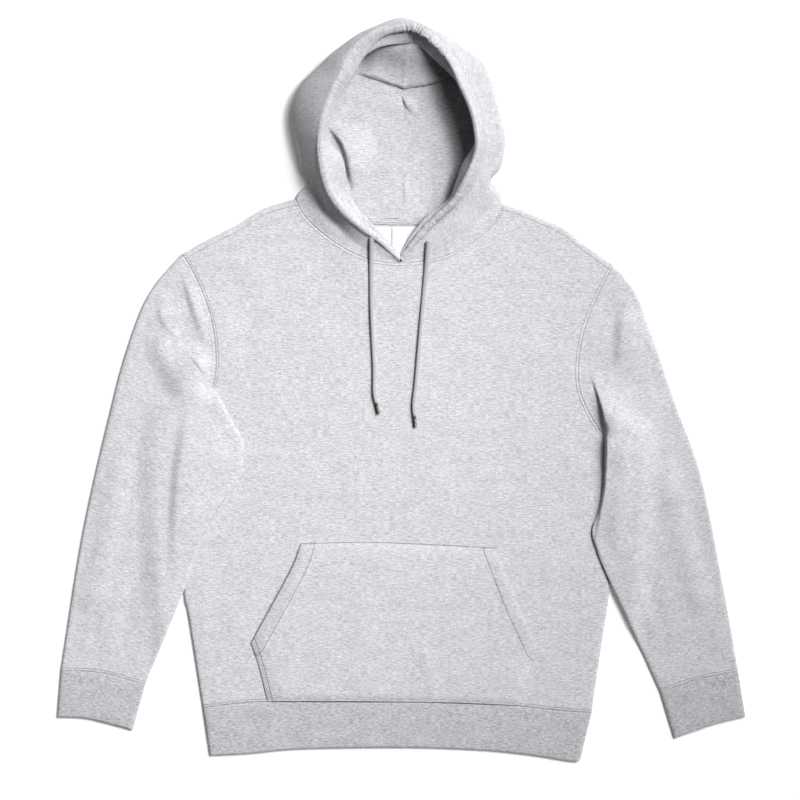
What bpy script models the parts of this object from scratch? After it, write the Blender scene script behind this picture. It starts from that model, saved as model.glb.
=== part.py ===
"""Pullover hoodie laid flat on a table, modelled piece by piece as it is cut and sewn.

Units are metres, +Z is up and the table is at z = 0. The garment lies on its back: its front
faces up, its hem is towards -Y and its hood towards +Y. Left and right are the viewer's.

Every outline is drawn on a pattern sheet of small squares: a column counts squares to the
right and a row counts squares down. SQUARE turns them into metres.
"""
import math
from collections import namedtuple

import bmesh
import bpy
from mathutils import Matrix, Vector

# ---------------------------------------------------------------- driving dimensions (metres)
SQUARE = 0.0013           # side of a square on the pattern sheet
MIDDLE_COLUMN = 401.4     # column of the part's origin
MIDDLE_ROW = 390.9        # row of the part's origin

FLEECE = 0.0022           # thickness of the brushed fleece of body, sleeves, pocket and hood
RIB = 0.0023              # thickness of the doubled rib of hem band and cuffs
TAPE = 0.0010             # thickness of neck tape and labels
SEAM_GAP = 0.0003         # space between pieces that are sewn together
LAYER_GAP = 0.0004        # space between the two layers of a flattened tube
WELD = 0.00002            # points closer than this are one point
TUBE_EDGE = 0.012         # the inner slit and the folds close over this far from a folded edge
CORD_DIAMETER = 0.0035
TIP_DIAMETER = 0.0044
TIP_LENGTH = 0.0135
HOOD_HEM_ROLL = 0.0030    # radius of the hood's turned edge, which holds the drawcord

FRONT_LEVEL = 1.5 * FLEECE + SEAM_GAP      # middle of the front panel, which lies on the back
STACK = 2 * FLEECE + SEAM_GAP              # top of the front panel
ROLL = 0.0050                              # how far in from an edge the front rolls down
SEAM_LEVEL = 0.55 * FLEECE                 # middle of the front at its rolled edge
BACK_INSET = 0.0056                        # the back's edge lies inside the rolled front
NECK_RISE = 0.0017                         # the front neck rides over the label
STEP_START = 0.058                         # a sleeve starts to rise this far off the body
STEP_END = 0.027
SLEEVE_SEAM_GAP = 0.0007                   # space at the curved armhole seams
NECK_SEAM_GAP = 0.0006                     # space at the curved front neck seam
ROLL_FADE = 0.016                          # the front's rolled edges end before its corners

COLLECTION = "pullover_hoodie"
FLEECE_COLOUR = (0.66, 0.67, 0.70)
RIB_COLOUR = (0.55, 0.56, 0.59)
LABEL_COLOUR = (0.90, 0.90, 0.90)
CORD_COLOUR = (0.52, 0.53, 0.56)
TIP_COLOUR = (0.33, 0.28, 0.25)


def table(names, *rows):
    """A short table with named columns."""
    line = namedtuple("Row", names)
    return [line(*row) for row in rows]


# ---------------------------------------------------------------- the pattern sheet
SIDE_LEFT = table("column row", (203, 707.5), (188.8, 617), (183.7, 590), (180, 500),
                  (180, 455), (182, 428))
UNDERARM_LEFT = table("column row", (182, 428), (200, 410), (213.4, 385))
ARMHOLE_LEFT = table("column row", (213.4, 385), (216, 367), (215, 342), (210, 314),
                     (200, 286), (188, 263), (181.6, 254.5))
SHOULDER_LEFT = table("column row", (181.6, 254.5), (208, 239.6), (236, 225.5), (263, 209),
                      (289.4, 200.6), (296, 199.5))
NECK_FRONT = table("column row", (296, 199.5), (301.6, 212), (311.5, 223.7), (325, 235.4),
                   (339, 245.3), (355.5, 254.4), (375, 261), (400, 263.5), (423, 261.5),
                   (448, 255), (466.5, 243.6), (483, 231), (497, 217), (501.5, 204.5))
SHOULDER_RIGHT = table("column row", (501.5, 204.5), (519, 209), (562, 227.5), (585, 245),
                       (613, 265))
UNDERARM_RIGHT = table("column row", (617, 448), (609, 440), (599, 430))
ARMHOLE_RIGHT = table("column row", (599, 430), (590, 415), (580, 392), (578, 367),
                      (581.6, 339), (590, 312.6), (601, 288), (613, 265))
SIDE_RIGHT = table("column row", (591.6, 712.6), (601.5, 645), (609, 595), (615, 520),
                   (617.5, 480), (617, 448))
HEM_SEAM = table("column row", (203, 707.5), (239, 703), (269, 701.6), (366, 701.6),
                 (455, 703), (519, 706), (557, 710), (591.6, 712.6))
HEM_EDGE = table("column row", (210, 755), (249, 753), (302, 748.3), (404, 747),
                 (480.6, 749.6), (531.6, 754.7), (571, 761), (580, 760.5))
NECK_BACK = table("column row", (298, 201.5), (312, 209), (330, 214.5), (350, 218.5),
                  (375, 221), (403.5, 222), (432, 221), (457, 218.5), (475, 214.5),
                  (489, 210), (500, 206))

SLEEVE_LEFT_OUTER = table("column row", (181.6, 254.5), (158, 281), (143, 306), (128, 347),
                          (115, 393), (84, 528), (61, 670.6))
SLEEVE_LEFT_INNER = table("column row", (213.4, 385), (224, 405), (240, 436), (245, 461),
                          (222, 505), (207, 528), (187, 583), (166, 635), (145.4, 684))
SLEEVE_RIGHT_OUTER = table("column row", (613, 265), (633, 288), (646, 319), (661, 362),
                           (674, 400), (701, 476), (724, 591), (738, 671))
SLEEVE_RIGHT_INNER = table("column row", (599, 430), (603, 451), (602, 487), (598, 512),
                           (591, 535), (596, 550), (609, 581), (630, 625), (660, 692))
CUFF_LEFT_SEAM = table("column row", (61, 670.6), (84, 671), (107, 673.5), (130, 680),
                       (145.4, 684))
CUFF_LEFT_EDGE = table("column row", (57.4, 716.5), (84, 717.5), (105, 722), (133, 729.5))
CUFF_RIGHT_SEAM = table("column row", (738, 671), (701, 678), (676.5, 686), (660, 692))
CUFF_RIGHT_EDGE = table("column row", (745.4, 716.5), (715, 724), (696, 730.6),
                        (674, 738))

POCKET_TOP = table("column row", (300.8, 543), (366, 541.7), (430, 544), (497, 547.5))
POCKET_BOTTOM = table("column row", (267.6, 700.6), (366, 700.8), (455, 702.2), (519, 705))
POCKET_LEFT = table("column row", (267.6, 700.6), (258.7, 665), (251, 642.4), (276.5, 596.5),
                    (294, 563), (300.8, 543))
POCKET_RIGHT = table("column row", (519, 705), (531.6, 668), (539, 647.5), (519, 604),
                     (504, 566), (497, 547.5))
POCKET_CORNER = 0.37      # share of the side at which the pocket's corner lies

LABEL = table("name left right top bottom level", ("neck_label", 364, 438, 227, 259, 1),
              ("neck_tag", 392, 405.5, 227.5, 257, 2))
TAPE_SPAN = (0.24, 0.78)      # part of the back neck that the tape covers
TAPE_WIDTH = 0.0080

# Rows across a sleeve near its armhole fan out: how far along the outer and inner folded edges
# a row ends, in millimetres, and its angle to the inner edge in degrees.
SLEEVE_FAN = table("outer inner angle", (22, 0.9, 150), (48, 2.4, 128), (78, 5, 110),
                   (110, 11, 98), (145, 22, 90))

# Main folds of the sleeves: a rise of the upper layer along a line, heights in millimetres.
FOLDS = table("column row to_column to_row width height",
              (150, 330, 128, 400, 26, 4.0), (196, 300, 178, 372, 18, 4.5),
              (194, 410, 192, 560, 22, 3.5), (120, 470, 92, 600, 30, 3.0),
              (640, 330, 668, 400, 24, 4.0), (597, 385, 606, 440, 13, 6.5),
              (622, 440, 616, 540, 24, 4.0), (664, 470, 700, 600, 30, 3.0))

# The hood lies on its back like a bowl. One row for each section, from the front neck on the
# left round the crown (station 24) to the front neck on the right; heights, reach and drop are
# in millimetres. A section runs from the neck or centre seam over the table to its foot, up
# past its widest side, over the hem stitching to the folded face edge, and turns in there.
HOOD = table(
    "station side_column side_row side_height stitch_column stitch_row stitch_height "
    "fold_column fold_row fold_height foot foot_height reach drop",
    (0, 390.6, 260.9, 6.2, 394, 260.6, 8, 396.4, 259.6, 10.5, 0.35, 5.5, 0.5, 3.9),
    (2, 376, 252, 8, 378, 244, 11, 382, 241.5, 15, 0.50, 6.2, 2, 5),
    (4, 353, 241, 12, 357, 229, 18, 362, 226, 23, 0.50, 7, 5, 9),
    (6, 334, 222, 18, 340, 213, 26, 345, 211, 31, 0.50, 9, 13, 13),
    (8, 318, 200, 22, 326, 192, 34, 331, 191, 39, 0.45, 8, 22, 13),
    (10, 305, 167, 24, 319, 166, 42, 324, 165, 47, 0.40, 6, 26, 16),
    (12, 299, 143, 24, 317, 146, 46, 322, 145, 50, 0.20, 1.1, 16, 24),
    (14, 293.5, 115, 24, 320, 120, 52, 329.5, 124, 46, 0.14, 1.1, -6, 10),
    (16, 299, 92, 24, 329, 93, 54, 341, 97, 45, 0.12, 1.1, -8, 10),
    (18, 313, 74, 24, 338, 75, 53, 351, 82, 44, 0.12, 1.1, -8, 10),
    (20, 336, 52.5, 23, 351, 51, 51, 364, 60, 44, 0.12, 1.1, -7, 10),
    (22, 368, 32.5, 22, 375, 32, 48, 381, 41, 45, 0.12, 1.1, 4, 12),
    (24, 401, 20, 21, 406.5, 26.5, 43, 408.5, 32, 46, 0.14, 1.1, 11, 19),
    (26, 434, 33, 21, 430, 33, 42, 424, 38, 48, 0.13, 1.1, 8, 22),
    (28, 459, 47.5, 20, 453, 57, 40, 447, 60, 52, 0.13, 1.1, 9, 22),
    (30, 483, 67, 19, 470, 86, 37, 462, 88, 56, 0.13, 1.1, 5, 24),
    (32, 496, 104, 18, 481, 111, 34, 472.5, 113, 58, 0.14, 1.1, 4, 25),
    (34, 503, 133, 18, 484, 134, 33, 477.5, 134, 58, 0.16, 1.1, 5, 25),
    (36, 503, 153, 18, 484, 150, 32, 477.7, 150, 55, 0.25, 1.1, 9, 24),
    (38, 495, 180, 15, 478, 168, 30, 472, 168, 49, 0.40, 6, 13, 22),
    (40, 487, 199, 14, 469, 188, 25, 463, 187, 41, 0.45, 7, 12, 18),
    (42, 470, 218, 12, 457, 206, 20, 452, 204, 32, 0.50, 8, 6, 15),
    (44, 448, 236, 10, 437, 224, 15, 432, 222, 23, 0.50, 7, 4, 9),
    (46, 424, 250, 8, 418, 243, 11, 414, 241, 15, 0.50, 6.2, 2, 5),
    (48, 407.4, 261.3, 6.2, 405, 260.6, 8, 403.2, 259.6, 10.5, 0.35, 5.5, 0.5, 3.9))
HOOD_CROWN = 24               # station of the centre seam at the crown
HOOD_UNDER = 10.5             # station just under the neck point, where the hood folds under
SEAM_STRIP = 0.0025           # the halves are level for this far from their seam at the crown
HOOD_FRONT_STATIONS = 10      # stations along a half's front neck seam
HOOD_BACK_STATIONS = 6        # stations along a half's back neck seam
NECK_POINT_CLEAR = 0.0020     # the hood leaves the neck points this far behind the shoulder
SEAM_TAB = 0.0028             # the hood lies flat for this far from the front neck seam
CENTRE_COLUMN = 403.5         # the hood's centre seam
CENTRE_FOOT_ROW = 222         # where the centre seam meets the back neck
TUCK_ROW = 98                 # where the centre seam nears the fold across the hood
TUCK = table("column row", (352, 72), (378, 81), (403.5, 88), (431, 84), (460, 75))
TUCK_HEIGHT = 0.0085
TUCK_RUN = 0.012          # length of the tuck's steep side
TUCK_LENGTH = 0.045

# The drawcord's free ends; lift is the height over the front panel, in millimetres.
CORD_LEFT = table("column row lift", (368.6, 241, 7.0), (368.6, 249, 4.4), (368.6, 258, 2.2),
                  (368.4, 270, 0.7), (368.4, 285, 0.2), (368.7, 305, 0.2), (370.5, 335, 0.2),
                  (372.3, 367.5, 0.2), (372.8, 392, 0.5), (375.6, 403, 0.8))
CORD_RIGHT = table("column row lift", (424.6, 241, 7.0), (424, 252, 3.8), (423.6, 262, 1.6),
                   (423, 272, 0.6), (421.4, 291, 0.2), (418.8, 319, 0.2), (416, 355, 0.2),
                   (414.3, 382, 0.2), (412.4, 404, 0.5), (413.6, 416, 0.8))

# ---------------------------------------------------------------- how finely pieces are drawn
HOOD_CELLS = (5, 3, 3, 2, 2, 2)     # cells to the foot, side, stitching, fold, round it, hem
SLEEVE_ROWS = 12                    # rows below the fan at the armhole
SLEEVE_COLUMNS = 10
HEM_COLUMNS = 14
CUFF_COLUMNS = 6
BAND_ROWS = 2
FRONT_COLUMNS = (5, 20, 5)          # cells over left shoulder, neck and right shoulder
FRONT_ROWS = (9, 2)                 # cells up the side seam and the underarm
POCKET_COLUMNS = 10
POCKET_ROWS = (3, 5)                # cells below and above the pocket's corner
CORD_POINT_SPACING = 0.0090


# ---------------------------------------------------------------- lines and patches
def place(column, row, height=0.0):
    """The point of a square on the pattern sheet, height in millimetres."""
    return Vector(((column - MIDDLE_COLUMN) * SQUARE, (MIDDLE_ROW - row) * SQUARE,
                   height * 0.001))


def points_of(rows):
    """The points of an outline table."""
    return [place(*row) for row in rows]


def catmull(before, start, end, after, share):
    """A point on a smooth curve from start to end."""
    square, cube = share * share, share * share * share
    return 0.5 * (2 * start + (end - before) * share
                  + (2 * before - 5 * start + 4 * end - after) * square
                  + (3 * start - before - 3 * end + after) * cube)


class Line:
    """A smooth line through points, read at a share of its length."""

    STEPS = 12

    def __init__(self, points):
        ends = [2 * points[0] - points[1]] + list(points) + [2 * points[-1] - points[-2]]
        self.points = [points[0].copy()]
        for index in range(len(points) - 1):
            quad = ends[index:index + 4]
            for step in range(1, self.STEPS + 1):
                self.points.append(catmull(*quad, step / self.STEPS))
        self.lengths = [0.0]
        for first, second in zip(self.points, self.points[1:]):
            self.lengths.append(self.lengths[-1] + (second - first).length)

    def at(self, share):
        wanted = min(max(share, 0.0), 1.0) * self.lengths[-1]
        low, high = 0, len(self.lengths) - 1
        while high - low > 1:
            middle = (low + high) // 2
            if self.lengths[middle] <= wanted:
                low = middle
            else:
                high = middle
        span = self.lengths[high] - self.lengths[low]
        part = (wanted - self.lengths[low]) / span if span else 0.0
        return self.points[low].lerp(self.points[high], part)


class Chain:
    """Several lines end to end, each over its own part of 0 to 1."""

    def __init__(self, lines, breaks):
        self.lines = lines
        self.breaks = [0.0] + list(breaks) + [1.0]

    def at(self, share):
        for index, line in enumerate(self.lines):
            start, end = self.breaks[index], self.breaks[index + 1]
            if share <= end or index == len(self.lines) - 1:
                return line.at((share - start) / (end - start))


def patch(bottom, top, left, right, across, up):
    """A point of the sheet spanned between four edges."""
    between = bottom.at(across).lerp(top.at(across), up) + left.at(up).lerp(right.at(up), across)
    low = bottom.at(0.0).lerp(bottom.at(1.0), across)
    high = top.at(0.0).lerp(top.at(1.0), across)
    return between - low.lerp(high, up)


def distance_to(point, line):
    """Flat distance from a point to a line."""
    best = math.inf
    for first, second in zip(line.points, line.points[1:]):
        along = (second - first).to_2d()
        offset = (point - first).to_2d()
        length = along.length_squared
        part = min(max(offset.dot(along) / length, 0.0), 1.0) if length else 0.0
        best = min(best, (offset - along * part).length)
    return best


def smooth(share):
    share = min(max(share, 0.0), 1.0)
    return share * share * (3 - 2 * share)


def round_over(distance, radius):
    """0 at an edge to 1 at radius from it, along a quarter circle."""
    left = 1 - min(max(distance / radius, 0.0), 1.0)
    return math.sqrt(1 - left * left)


# ---------------------------------------------------------------- the body's edges
side_left, side_right = Line(points_of(SIDE_LEFT)), Line(points_of(SIDE_RIGHT))
underarm_left, underarm_right = Line(points_of(UNDERARM_LEFT)), Line(points_of(UNDERARM_RIGHT))
armhole_left, armhole_right = Line(points_of(ARMHOLE_LEFT)), Line(points_of(ARMHOLE_RIGHT))
shoulder_left, shoulder_right = Line(points_of(SHOULDER_LEFT)), Line(points_of(SHOULDER_RIGHT))
neck_front, neck_back = Line(points_of(NECK_FRONT)), Line(points_of(NECK_BACK))
hem_seam = Line(points_of(HEM_SEAM))
ARMPIT = 0.60                 # share of the side edge at the armpit
ARMHOLE = 0.69                # share at which the armhole comes out from under the sleeve
NECK_POINTS = (0.265, 0.741)  # shares of the top edge at the two neck points
NECK_CENTRE = 0.525           # share of the back neck at the hood's centre seam
LABEL_CENTRE = place(401, 248)
RISE_FULL, RISE_END = 0.055, 0.120


def without_end(line, gap):
    """A line that stops short of its last point."""
    return Line([line.at((1 - gap / line.lengths[-1]) * index / 24) for index in range(25)])


ROLLED_EDGES = (without_end(side_left, ROLL_FADE), without_end(side_right, ROLL_FADE),
                without_end(shoulder_left, ROLL_FADE),
                without_end(Line(shoulder_right.points[::-1]), ROLL_FADE))


def neck_rise(point):
    """How much the label lifts the front neck."""
    away = (point - LABEL_CENTRE).to_2d().length
    return NECK_RISE * (1 - smooth((away - RISE_FULL) / (RISE_END - RISE_FULL)))


def front_height(point):
    """Height of the middle of the front panel."""
    edge = min(distance_to(point, line) for line in ROLLED_EDGES)
    full = FRONT_LEVEL + neck_rise(point)
    return SEAM_LEVEL + (full - SEAM_LEVEL) * round_over(edge, ROLL)


def spaced(cells, first=0.0, last=1.0, near=()):
    """Even steps, with extra ones close to the start."""
    steps = [first + (last - first) * index / cells for index in range(cells + 1)]
    return [first] + list(near) + steps[1:]


def tube_steps(cells, width):
    """Shares across a flattened tube, closer together at its two folded edges."""
    near = [distance / width for distance in (0.0006, 0.0021)]
    inside = [0.0045 / width + (1 - 0.009 / width) * index / cells for index in range(cells + 1)]
    return [0.0] + near + inside + [1 - step for step in near[::-1]] + [1.0]


EDGE_STEPS = (0.0012, 0.0085)      # extra columns where the front rolls down
ARMHOLE_STEPS = tube_steps(SLEEVE_COLUMNS, 0.20)     # from the shoulder down
ARMHOLE_SHARES = [1 - step for step in ARMHOLE_STEPS[::-1]]


def front_columns():
    left, neck, right = FRONT_COLUMNS
    first, second = NECK_POINTS
    steps = spaced(left, 0.0, first, EDGE_STEPS)
    steps += [first + (second - first) * index / neck for index in range(1, neck + 1)]
    tail = [1.0 - (1.0 - second) * index / right for index in range(right)]
    tail = [1.0] + [1.0 - step for step in EDGE_STEPS] + tail[1:]
    return steps + tail[::-1]


def front_rows():
    side, underarm = FRONT_ROWS
    steps = [ARMPIT * index / side for index in range(side + 1)]
    steps += [ARMPIT + (ARMHOLE - ARMPIT) * index / underarm for index in range(1, underarm + 1)]
    return steps + [ARMHOLE + (1 - ARMHOLE) * share for share in ARMHOLE_SHARES[3:]]


body_left = Chain((side_left, underarm_left, armhole_left), (ARMPIT, ARMHOLE))
body_right = Chain((side_right, underarm_right, armhole_right), (ARMPIT, ARMHOLE))
body_top = Chain((shoulder_left, neck_front, shoulder_right), NECK_POINTS)


def front_point(across, up):
    point = patch(hem_seam, body_top, body_left, body_right, across, up)
    point.z = front_height(point)
    return point


# ---------------------------------------------------------------- making objects
def clear_scene():
    for item in list(bpy.data.objects):
        bpy.data.objects.remove(item, do_unlink=True)


def make_material(name, colour, roughness, metallic=0.0):
    material = bpy.data.materials.new(name)
    material.use_nodes = True
    shader = material.node_tree.nodes["Principled BSDF"]
    shader.inputs["Base Color"].default_value = (*colour, 1.0)
    shader.inputs["Roughness"].default_value = roughness
    shader.inputs["Metallic"].default_value = metallic
    return material


def add_object(name, data, material, collection):
    item = bpy.data.objects.new(name, data)
    data.materials.append(material)
    collection.objects.link(item)
    return item


def sheet_mesh(rows):
    """A grid bent through rows of points, all of one length."""
    across, up = len(rows[0]) - 1, len(rows) - 1
    form = bmesh.new()
    bmesh.ops.create_grid(form, x_segments=across, y_segments=up, size=0.5)
    for vertex in form.verts:
        column = round((vertex.co.x + 0.5) * across)
        row = round((vertex.co.y + 0.5) * up)
        vertex.co = rows[row][column]
    return form


def finish_mesh(name, form):
    data = bpy.data.meshes.new(name)
    form.to_mesh(data)
    form.free()
    data.shade_smooth()
    return data


def cloth_sheet(name, rows, thickness, material, collection):
    """An open sheet of cloth with its wall to both sides of the given points."""
    form = sheet_mesh(rows)
    bmesh.ops.triangulate(form, faces=form.faces, quad_method="SHORT_EDGE")
    item = add_object(name, finish_mesh(name, form), material, collection)
    wall = item.modifiers.new("wall", "SOLIDIFY")
    wall.thickness = thickness
    wall.offset = 0.0
    wall.use_even_offset = False
    return item


def tube_layer(lines, cells, wall, low, loft, slit, upper):
    """One layer of a flattened tube: its outer skin, or that of the slit inside it."""
    half = LAYER_GAP / 2 if slit else wall + LAYER_GAP / 2
    layer = []
    for line in lines:
        length = line.lengths[-1]
        row = []
        for step in tube_steps(cells, length):
            nearest = min(step, 1 - step) * length
            if slit:
                shift = wall * (1 - smooth(nearest / TUBE_EDGE)) / length
                step += shift if step < 0.5 else -shift
            point = line.at(step)
            middle = low(point) + wall + LAYER_GAP / 2
            bow = half * round_over(nearest, ROLL)
            if upper:
                point.z = middle + bow + loft(point) * smooth(nearest / TUBE_EDGE)
            else:
                point.z = middle - bow
            row.append(point)
        layer.append(row)
    return layer


def flat_tube(name, lines, cells, wall, low, loft, material, collection):
    """A tube of cloth pressed flat, open at both ends; the lines run across it."""
    form = bmesh.new()
    for upper in (True, False):
        outer, inner = (tube_layer(lines, cells, wall, low, loft, slit, upper)
                        for slit in (False, True))
        for points in (outer, inner, [outer[0], inner[0]], [outer[-1], inner[-1]]):
            sheet = sheet_mesh(points)
            bmesh.ops.triangulate(sheet, faces=sheet.faces, quad_method="FIXED")
            join(form, sheet)
    bmesh.ops.remove_doubles(form, verts=form.verts, dist=WELD)
    bmesh.ops.recalc_face_normals(form, faces=form.faces)
    return add_object(name, finish_mesh(name, form), material, collection)


def join(form, other):
    """Add another mesh form to a form."""
    piece = bpy.data.meshes.new("piece")
    other.to_mesh(piece)
    other.free()
    form.from_mesh(piece)
    bpy.data.meshes.remove(piece)


# ---------------------------------------------------------------- body
def build_front(material, collection):
    rows = [[front_point(across, up) for across in front_columns()] for up in front_rows()]
    return cloth_sheet("front_body", rows, FLEECE, material, collection)


def inward(line, share, distance, side):
    """A point moved to one side of a line: side is 1 for its left hand."""
    point = line.at(share)
    along = (line.at(min(share + 0.01, 1.0)) - line.at(max(share - 0.01, 0.0))).normalized()
    return point + Vector((-along.y, along.x, 0.0)) * distance * side


def back_outline():
    """The back panel's edge, just inside the front's rolled edges."""
    coarse = [index / 10 for index in range(11)]
    steps = [index / HOOD_BACK_STATIONS for index in range(2, HOOD_BACK_STATIONS + 1)]
    neck = [NECK_CENTRE * step for step in steps]
    neck += [1 - (1 - NECK_CENTRE) * step for step in steps[-2::-1]]
    outline = [inward(side_left, step, BACK_INSET, -1) for step in coarse[:-1]]
    outline += [inward(underarm_left, step, SEAM_GAP, -1) for step in (0.35, 0.7)]
    outline += [inward(armhole_left, step, SEAM_GAP, -1) for step in ARMHOLE_SHARES[:-3]]
    outline += [inward(shoulder_left, step, BACK_INSET, -1) for step in coarse[1:-1]]
    outline += [inward(neck_back, step, SEAM_GAP, -1) for step in neck]
    outline += [inward(shoulder_right, step, BACK_INSET, -1) for step in coarse[1:-1]]
    outline += [inward(armhole_right, step, SEAM_GAP, 1) for step in ARMHOLE_SHARES[-4::-1]]
    outline += [inward(underarm_right, step, SEAM_GAP, 1) for step in (0.7, 0.35)]
    outline += [inward(side_right, step, BACK_INSET, 1) for step in coarse[-2::-1]]
    outline += [inward(hem_seam, step, SEAM_GAP, 1) for step in coarse[-2:0:-1]]
    return outline


def build_back(material, collection):
    form = bmesh.new()
    corners = [form.verts.new((point.x, point.y, 0.0)) for point in back_outline()]
    flat = form.faces.new(corners)
    bmesh.ops.recalc_face_normals(form, faces=[flat])
    if flat.normal.z > 0:
        flat.normal_flip()
    grown = bmesh.ops.extrude_face_region(form, geom=[flat])
    lifted = [item for item in grown["geom"] if isinstance(item, bmesh.types.BMVert)]
    bmesh.ops.translate(form, vec=(0, 0, FLEECE), verts=lifted)
    bmesh.ops.triangulate(form, faces=form.faces)
    bmesh.ops.recalc_face_normals(form, faces=form.faces)
    data = bpy.data.meshes.new("back_body")
    form.to_mesh(data)
    form.free()
    return add_object("back_body", data, material, collection)


def build_pocket(material, collection):
    bottom, top = Line(points_of(POCKET_BOTTOM)), Line(points_of(POCKET_TOP))
    corner_left = Chain((Line(points_of(POCKET_LEFT[:3])), Line(points_of(POCKET_LEFT[2:]))),
                        (POCKET_CORNER,))
    corner_right = Chain((Line(points_of(POCKET_RIGHT[:3])), Line(points_of(POCKET_RIGHT[2:]))),
                         (POCKET_CORNER,))
    below, above = POCKET_ROWS
    steps = [POCKET_CORNER * index / below for index in range(below)]
    steps += [POCKET_CORNER + (1 - POCKET_CORNER) * index / above for index in range(above + 1)]
    rows = []
    for up in steps:
        row = []
        for index in range(POCKET_COLUMNS + 1):
            point = patch(bottom, top, corner_left, corner_right, index / POCKET_COLUMNS, up)
            point.z = front_height(point) + FLEECE + SEAM_GAP
            row.append(point)
        rows.append(row)
    return cloth_sheet("pocket", rows, FLEECE, material, collection)


def flat(_point):
    return 0.0


def lines_between(first, last, rows):
    """Lines across a band from its first to its last line."""
    shares = [index / 20 for index in range(21)]
    return [Line([first.at(share).lerp(last.at(share), row / rows) for share in shares])
            for row in range(rows + 1)]


def build_hem_band(material, collection):
    seam = Line([point - Vector((0, SEAM_GAP * 1.6, 0)) for point in points_of(HEM_SEAM)])
    edge = Line(points_of(HEM_EDGE))
    return flat_tube("hem_band", lines_between(seam, edge, BAND_ROWS), HEM_COLUMNS, RIB, flat,
                     flat, material, collection)


# ---------------------------------------------------------------- sleeves and cuffs
def body_side(side, underarm):
    """The hidden edge of the body under a sleeve, and a region inside it."""
    line = side.points + underarm.points[1:]
    region = line + [Vector((0, line[-1].y, 0)), Vector((0, line[0].y, 0))]
    return line, region


def inside(point, region):
    """Whether a point lies inside a closed outline."""
    found = False
    for first, second in zip(region, region[1:] + region[:1]):
        if (first.y > point.y) != (second.y > point.y):
            cross = first.x + (point.y - first.y) * (second.x - first.x) / (second.y - first.y)
            if point.x < cross:
                found = not found
    return found


def step_over(point, line, region):
    """How far a sleeve is lifted where it lies over the body."""
    away = math.inf
    for first, second in zip(line, line[1:]):
        along = (second - first).to_2d()
        offset = (point - first).to_2d()
        length = along.length_squared
        part = min(max(offset.dot(along) / length, 0.0), 1.0) if length else 0.0
        away = min(away, (offset - along * part).length)
    depth = away if inside(point, region) else -away
    full = STACK + SEAM_GAP
    return full * smooth((depth + STEP_START) / (STEP_START - STEP_END))


def fold_loft(point):
    """Rise of a sleeve's upper layer along its main folds."""
    rise = 0.0
    for fold in FOLDS:
        start = place(fold.column, fold.row)
        end = place(fold.to_column, fold.to_row)
        along = (end - start).to_2d()
        part = min(max((point - start).to_2d().dot(along) / along.length_squared, 0.0), 1.0)
        away = ((point - start).to_2d() - along * part).length
        reach = fold.width * SQUARE * 0.5
        rise = max(rise, fold.height * 0.001 * (1 - smooth(away / reach)))
    return rise


def heading(line, distance):
    """Unit direction of a line at a distance from its start."""
    share = distance / line.lengths[-1]
    return (line.at(min(share + 0.01, 1.0)) - line.at(max(share - 0.01, 0.0))).normalized()


def turned(direction, degrees):
    return direction.to_3d() @ Matrix.Rotation(math.radians(degrees), 3, "Z").transposed()


def sleeve_line(outer, inner, fan, turn):
    """A line across a sleeve that leaves both folded edges at a set angle."""
    start = outer.at(fan.outer * 0.001 / outer.lengths[-1])
    end = inner.at(fan.inner * 0.001 / inner.lengths[-1])
    reach = (end - start).length * 0.3
    near = start + turned(heading(outer, fan.outer * 0.001), 90 * turn) * reach
    far = end + turned(heading(inner, fan.inner * 0.001), -fan.angle * turn) * reach
    curve = []
    for index in range(13):
        share = index / 12
        left = 1 - share
        curve.append(start * left ** 3 + near * 3 * left * left * share
                     + far * 3 * left * share * share + end * share ** 3)
    return Line(curve)


def build_sleeve(name, outer, inner, armhole, underarm, cuff, side, material, collection):
    outer_edge, inner_edge = Line(points_of(outer)), Line(points_of(inner))
    turn = 1 if outer[0].column < MIDDLE_COLUMN else -1
    last = SLEEVE_FAN[-1]
    outer_left = outer_edge.lengths[-1] * 1000 - last.outer
    inner_left = inner_edge.lengths[-1] * 1000 - last.inner
    fans = SLEEVE_FAN + [last._replace(outer=last.outer + outer_left * index / SLEEVE_ROWS,
                                       inner=last.inner + inner_left * index / SLEEVE_ROWS)
                         for index in range(1, SLEEVE_ROWS)]
    seam = Line([inward(armhole, 1 - index / 20, SLEEVE_SEAM_GAP, turn) for index in range(21)])
    lines = [sleeve_line(outer_edge, inner_edge, fan, turn) for fan in fans]
    lines = [seam] + lines + [Line(points_of(cuff))]
    line, region = body_side(side, underarm)
    return flat_tube(name, lines, SLEEVE_COLUMNS, FLEECE,
                     lambda point: step_over(point, line, region), fold_loft, material,
                     collection)


def build_cuff(name, seam_rows, edge_rows, material, collection):
    below = Vector((0, SEAM_GAP * 1.5, 0))
    seam = Line([point - below for point in points_of(seam_rows)])
    edge = Line(points_of(edge_rows))
    return flat_tube(name, lines_between(seam, edge, BAND_ROWS), CUFF_COLUMNS, RIB, flat, flat,
                     material, collection)


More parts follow.
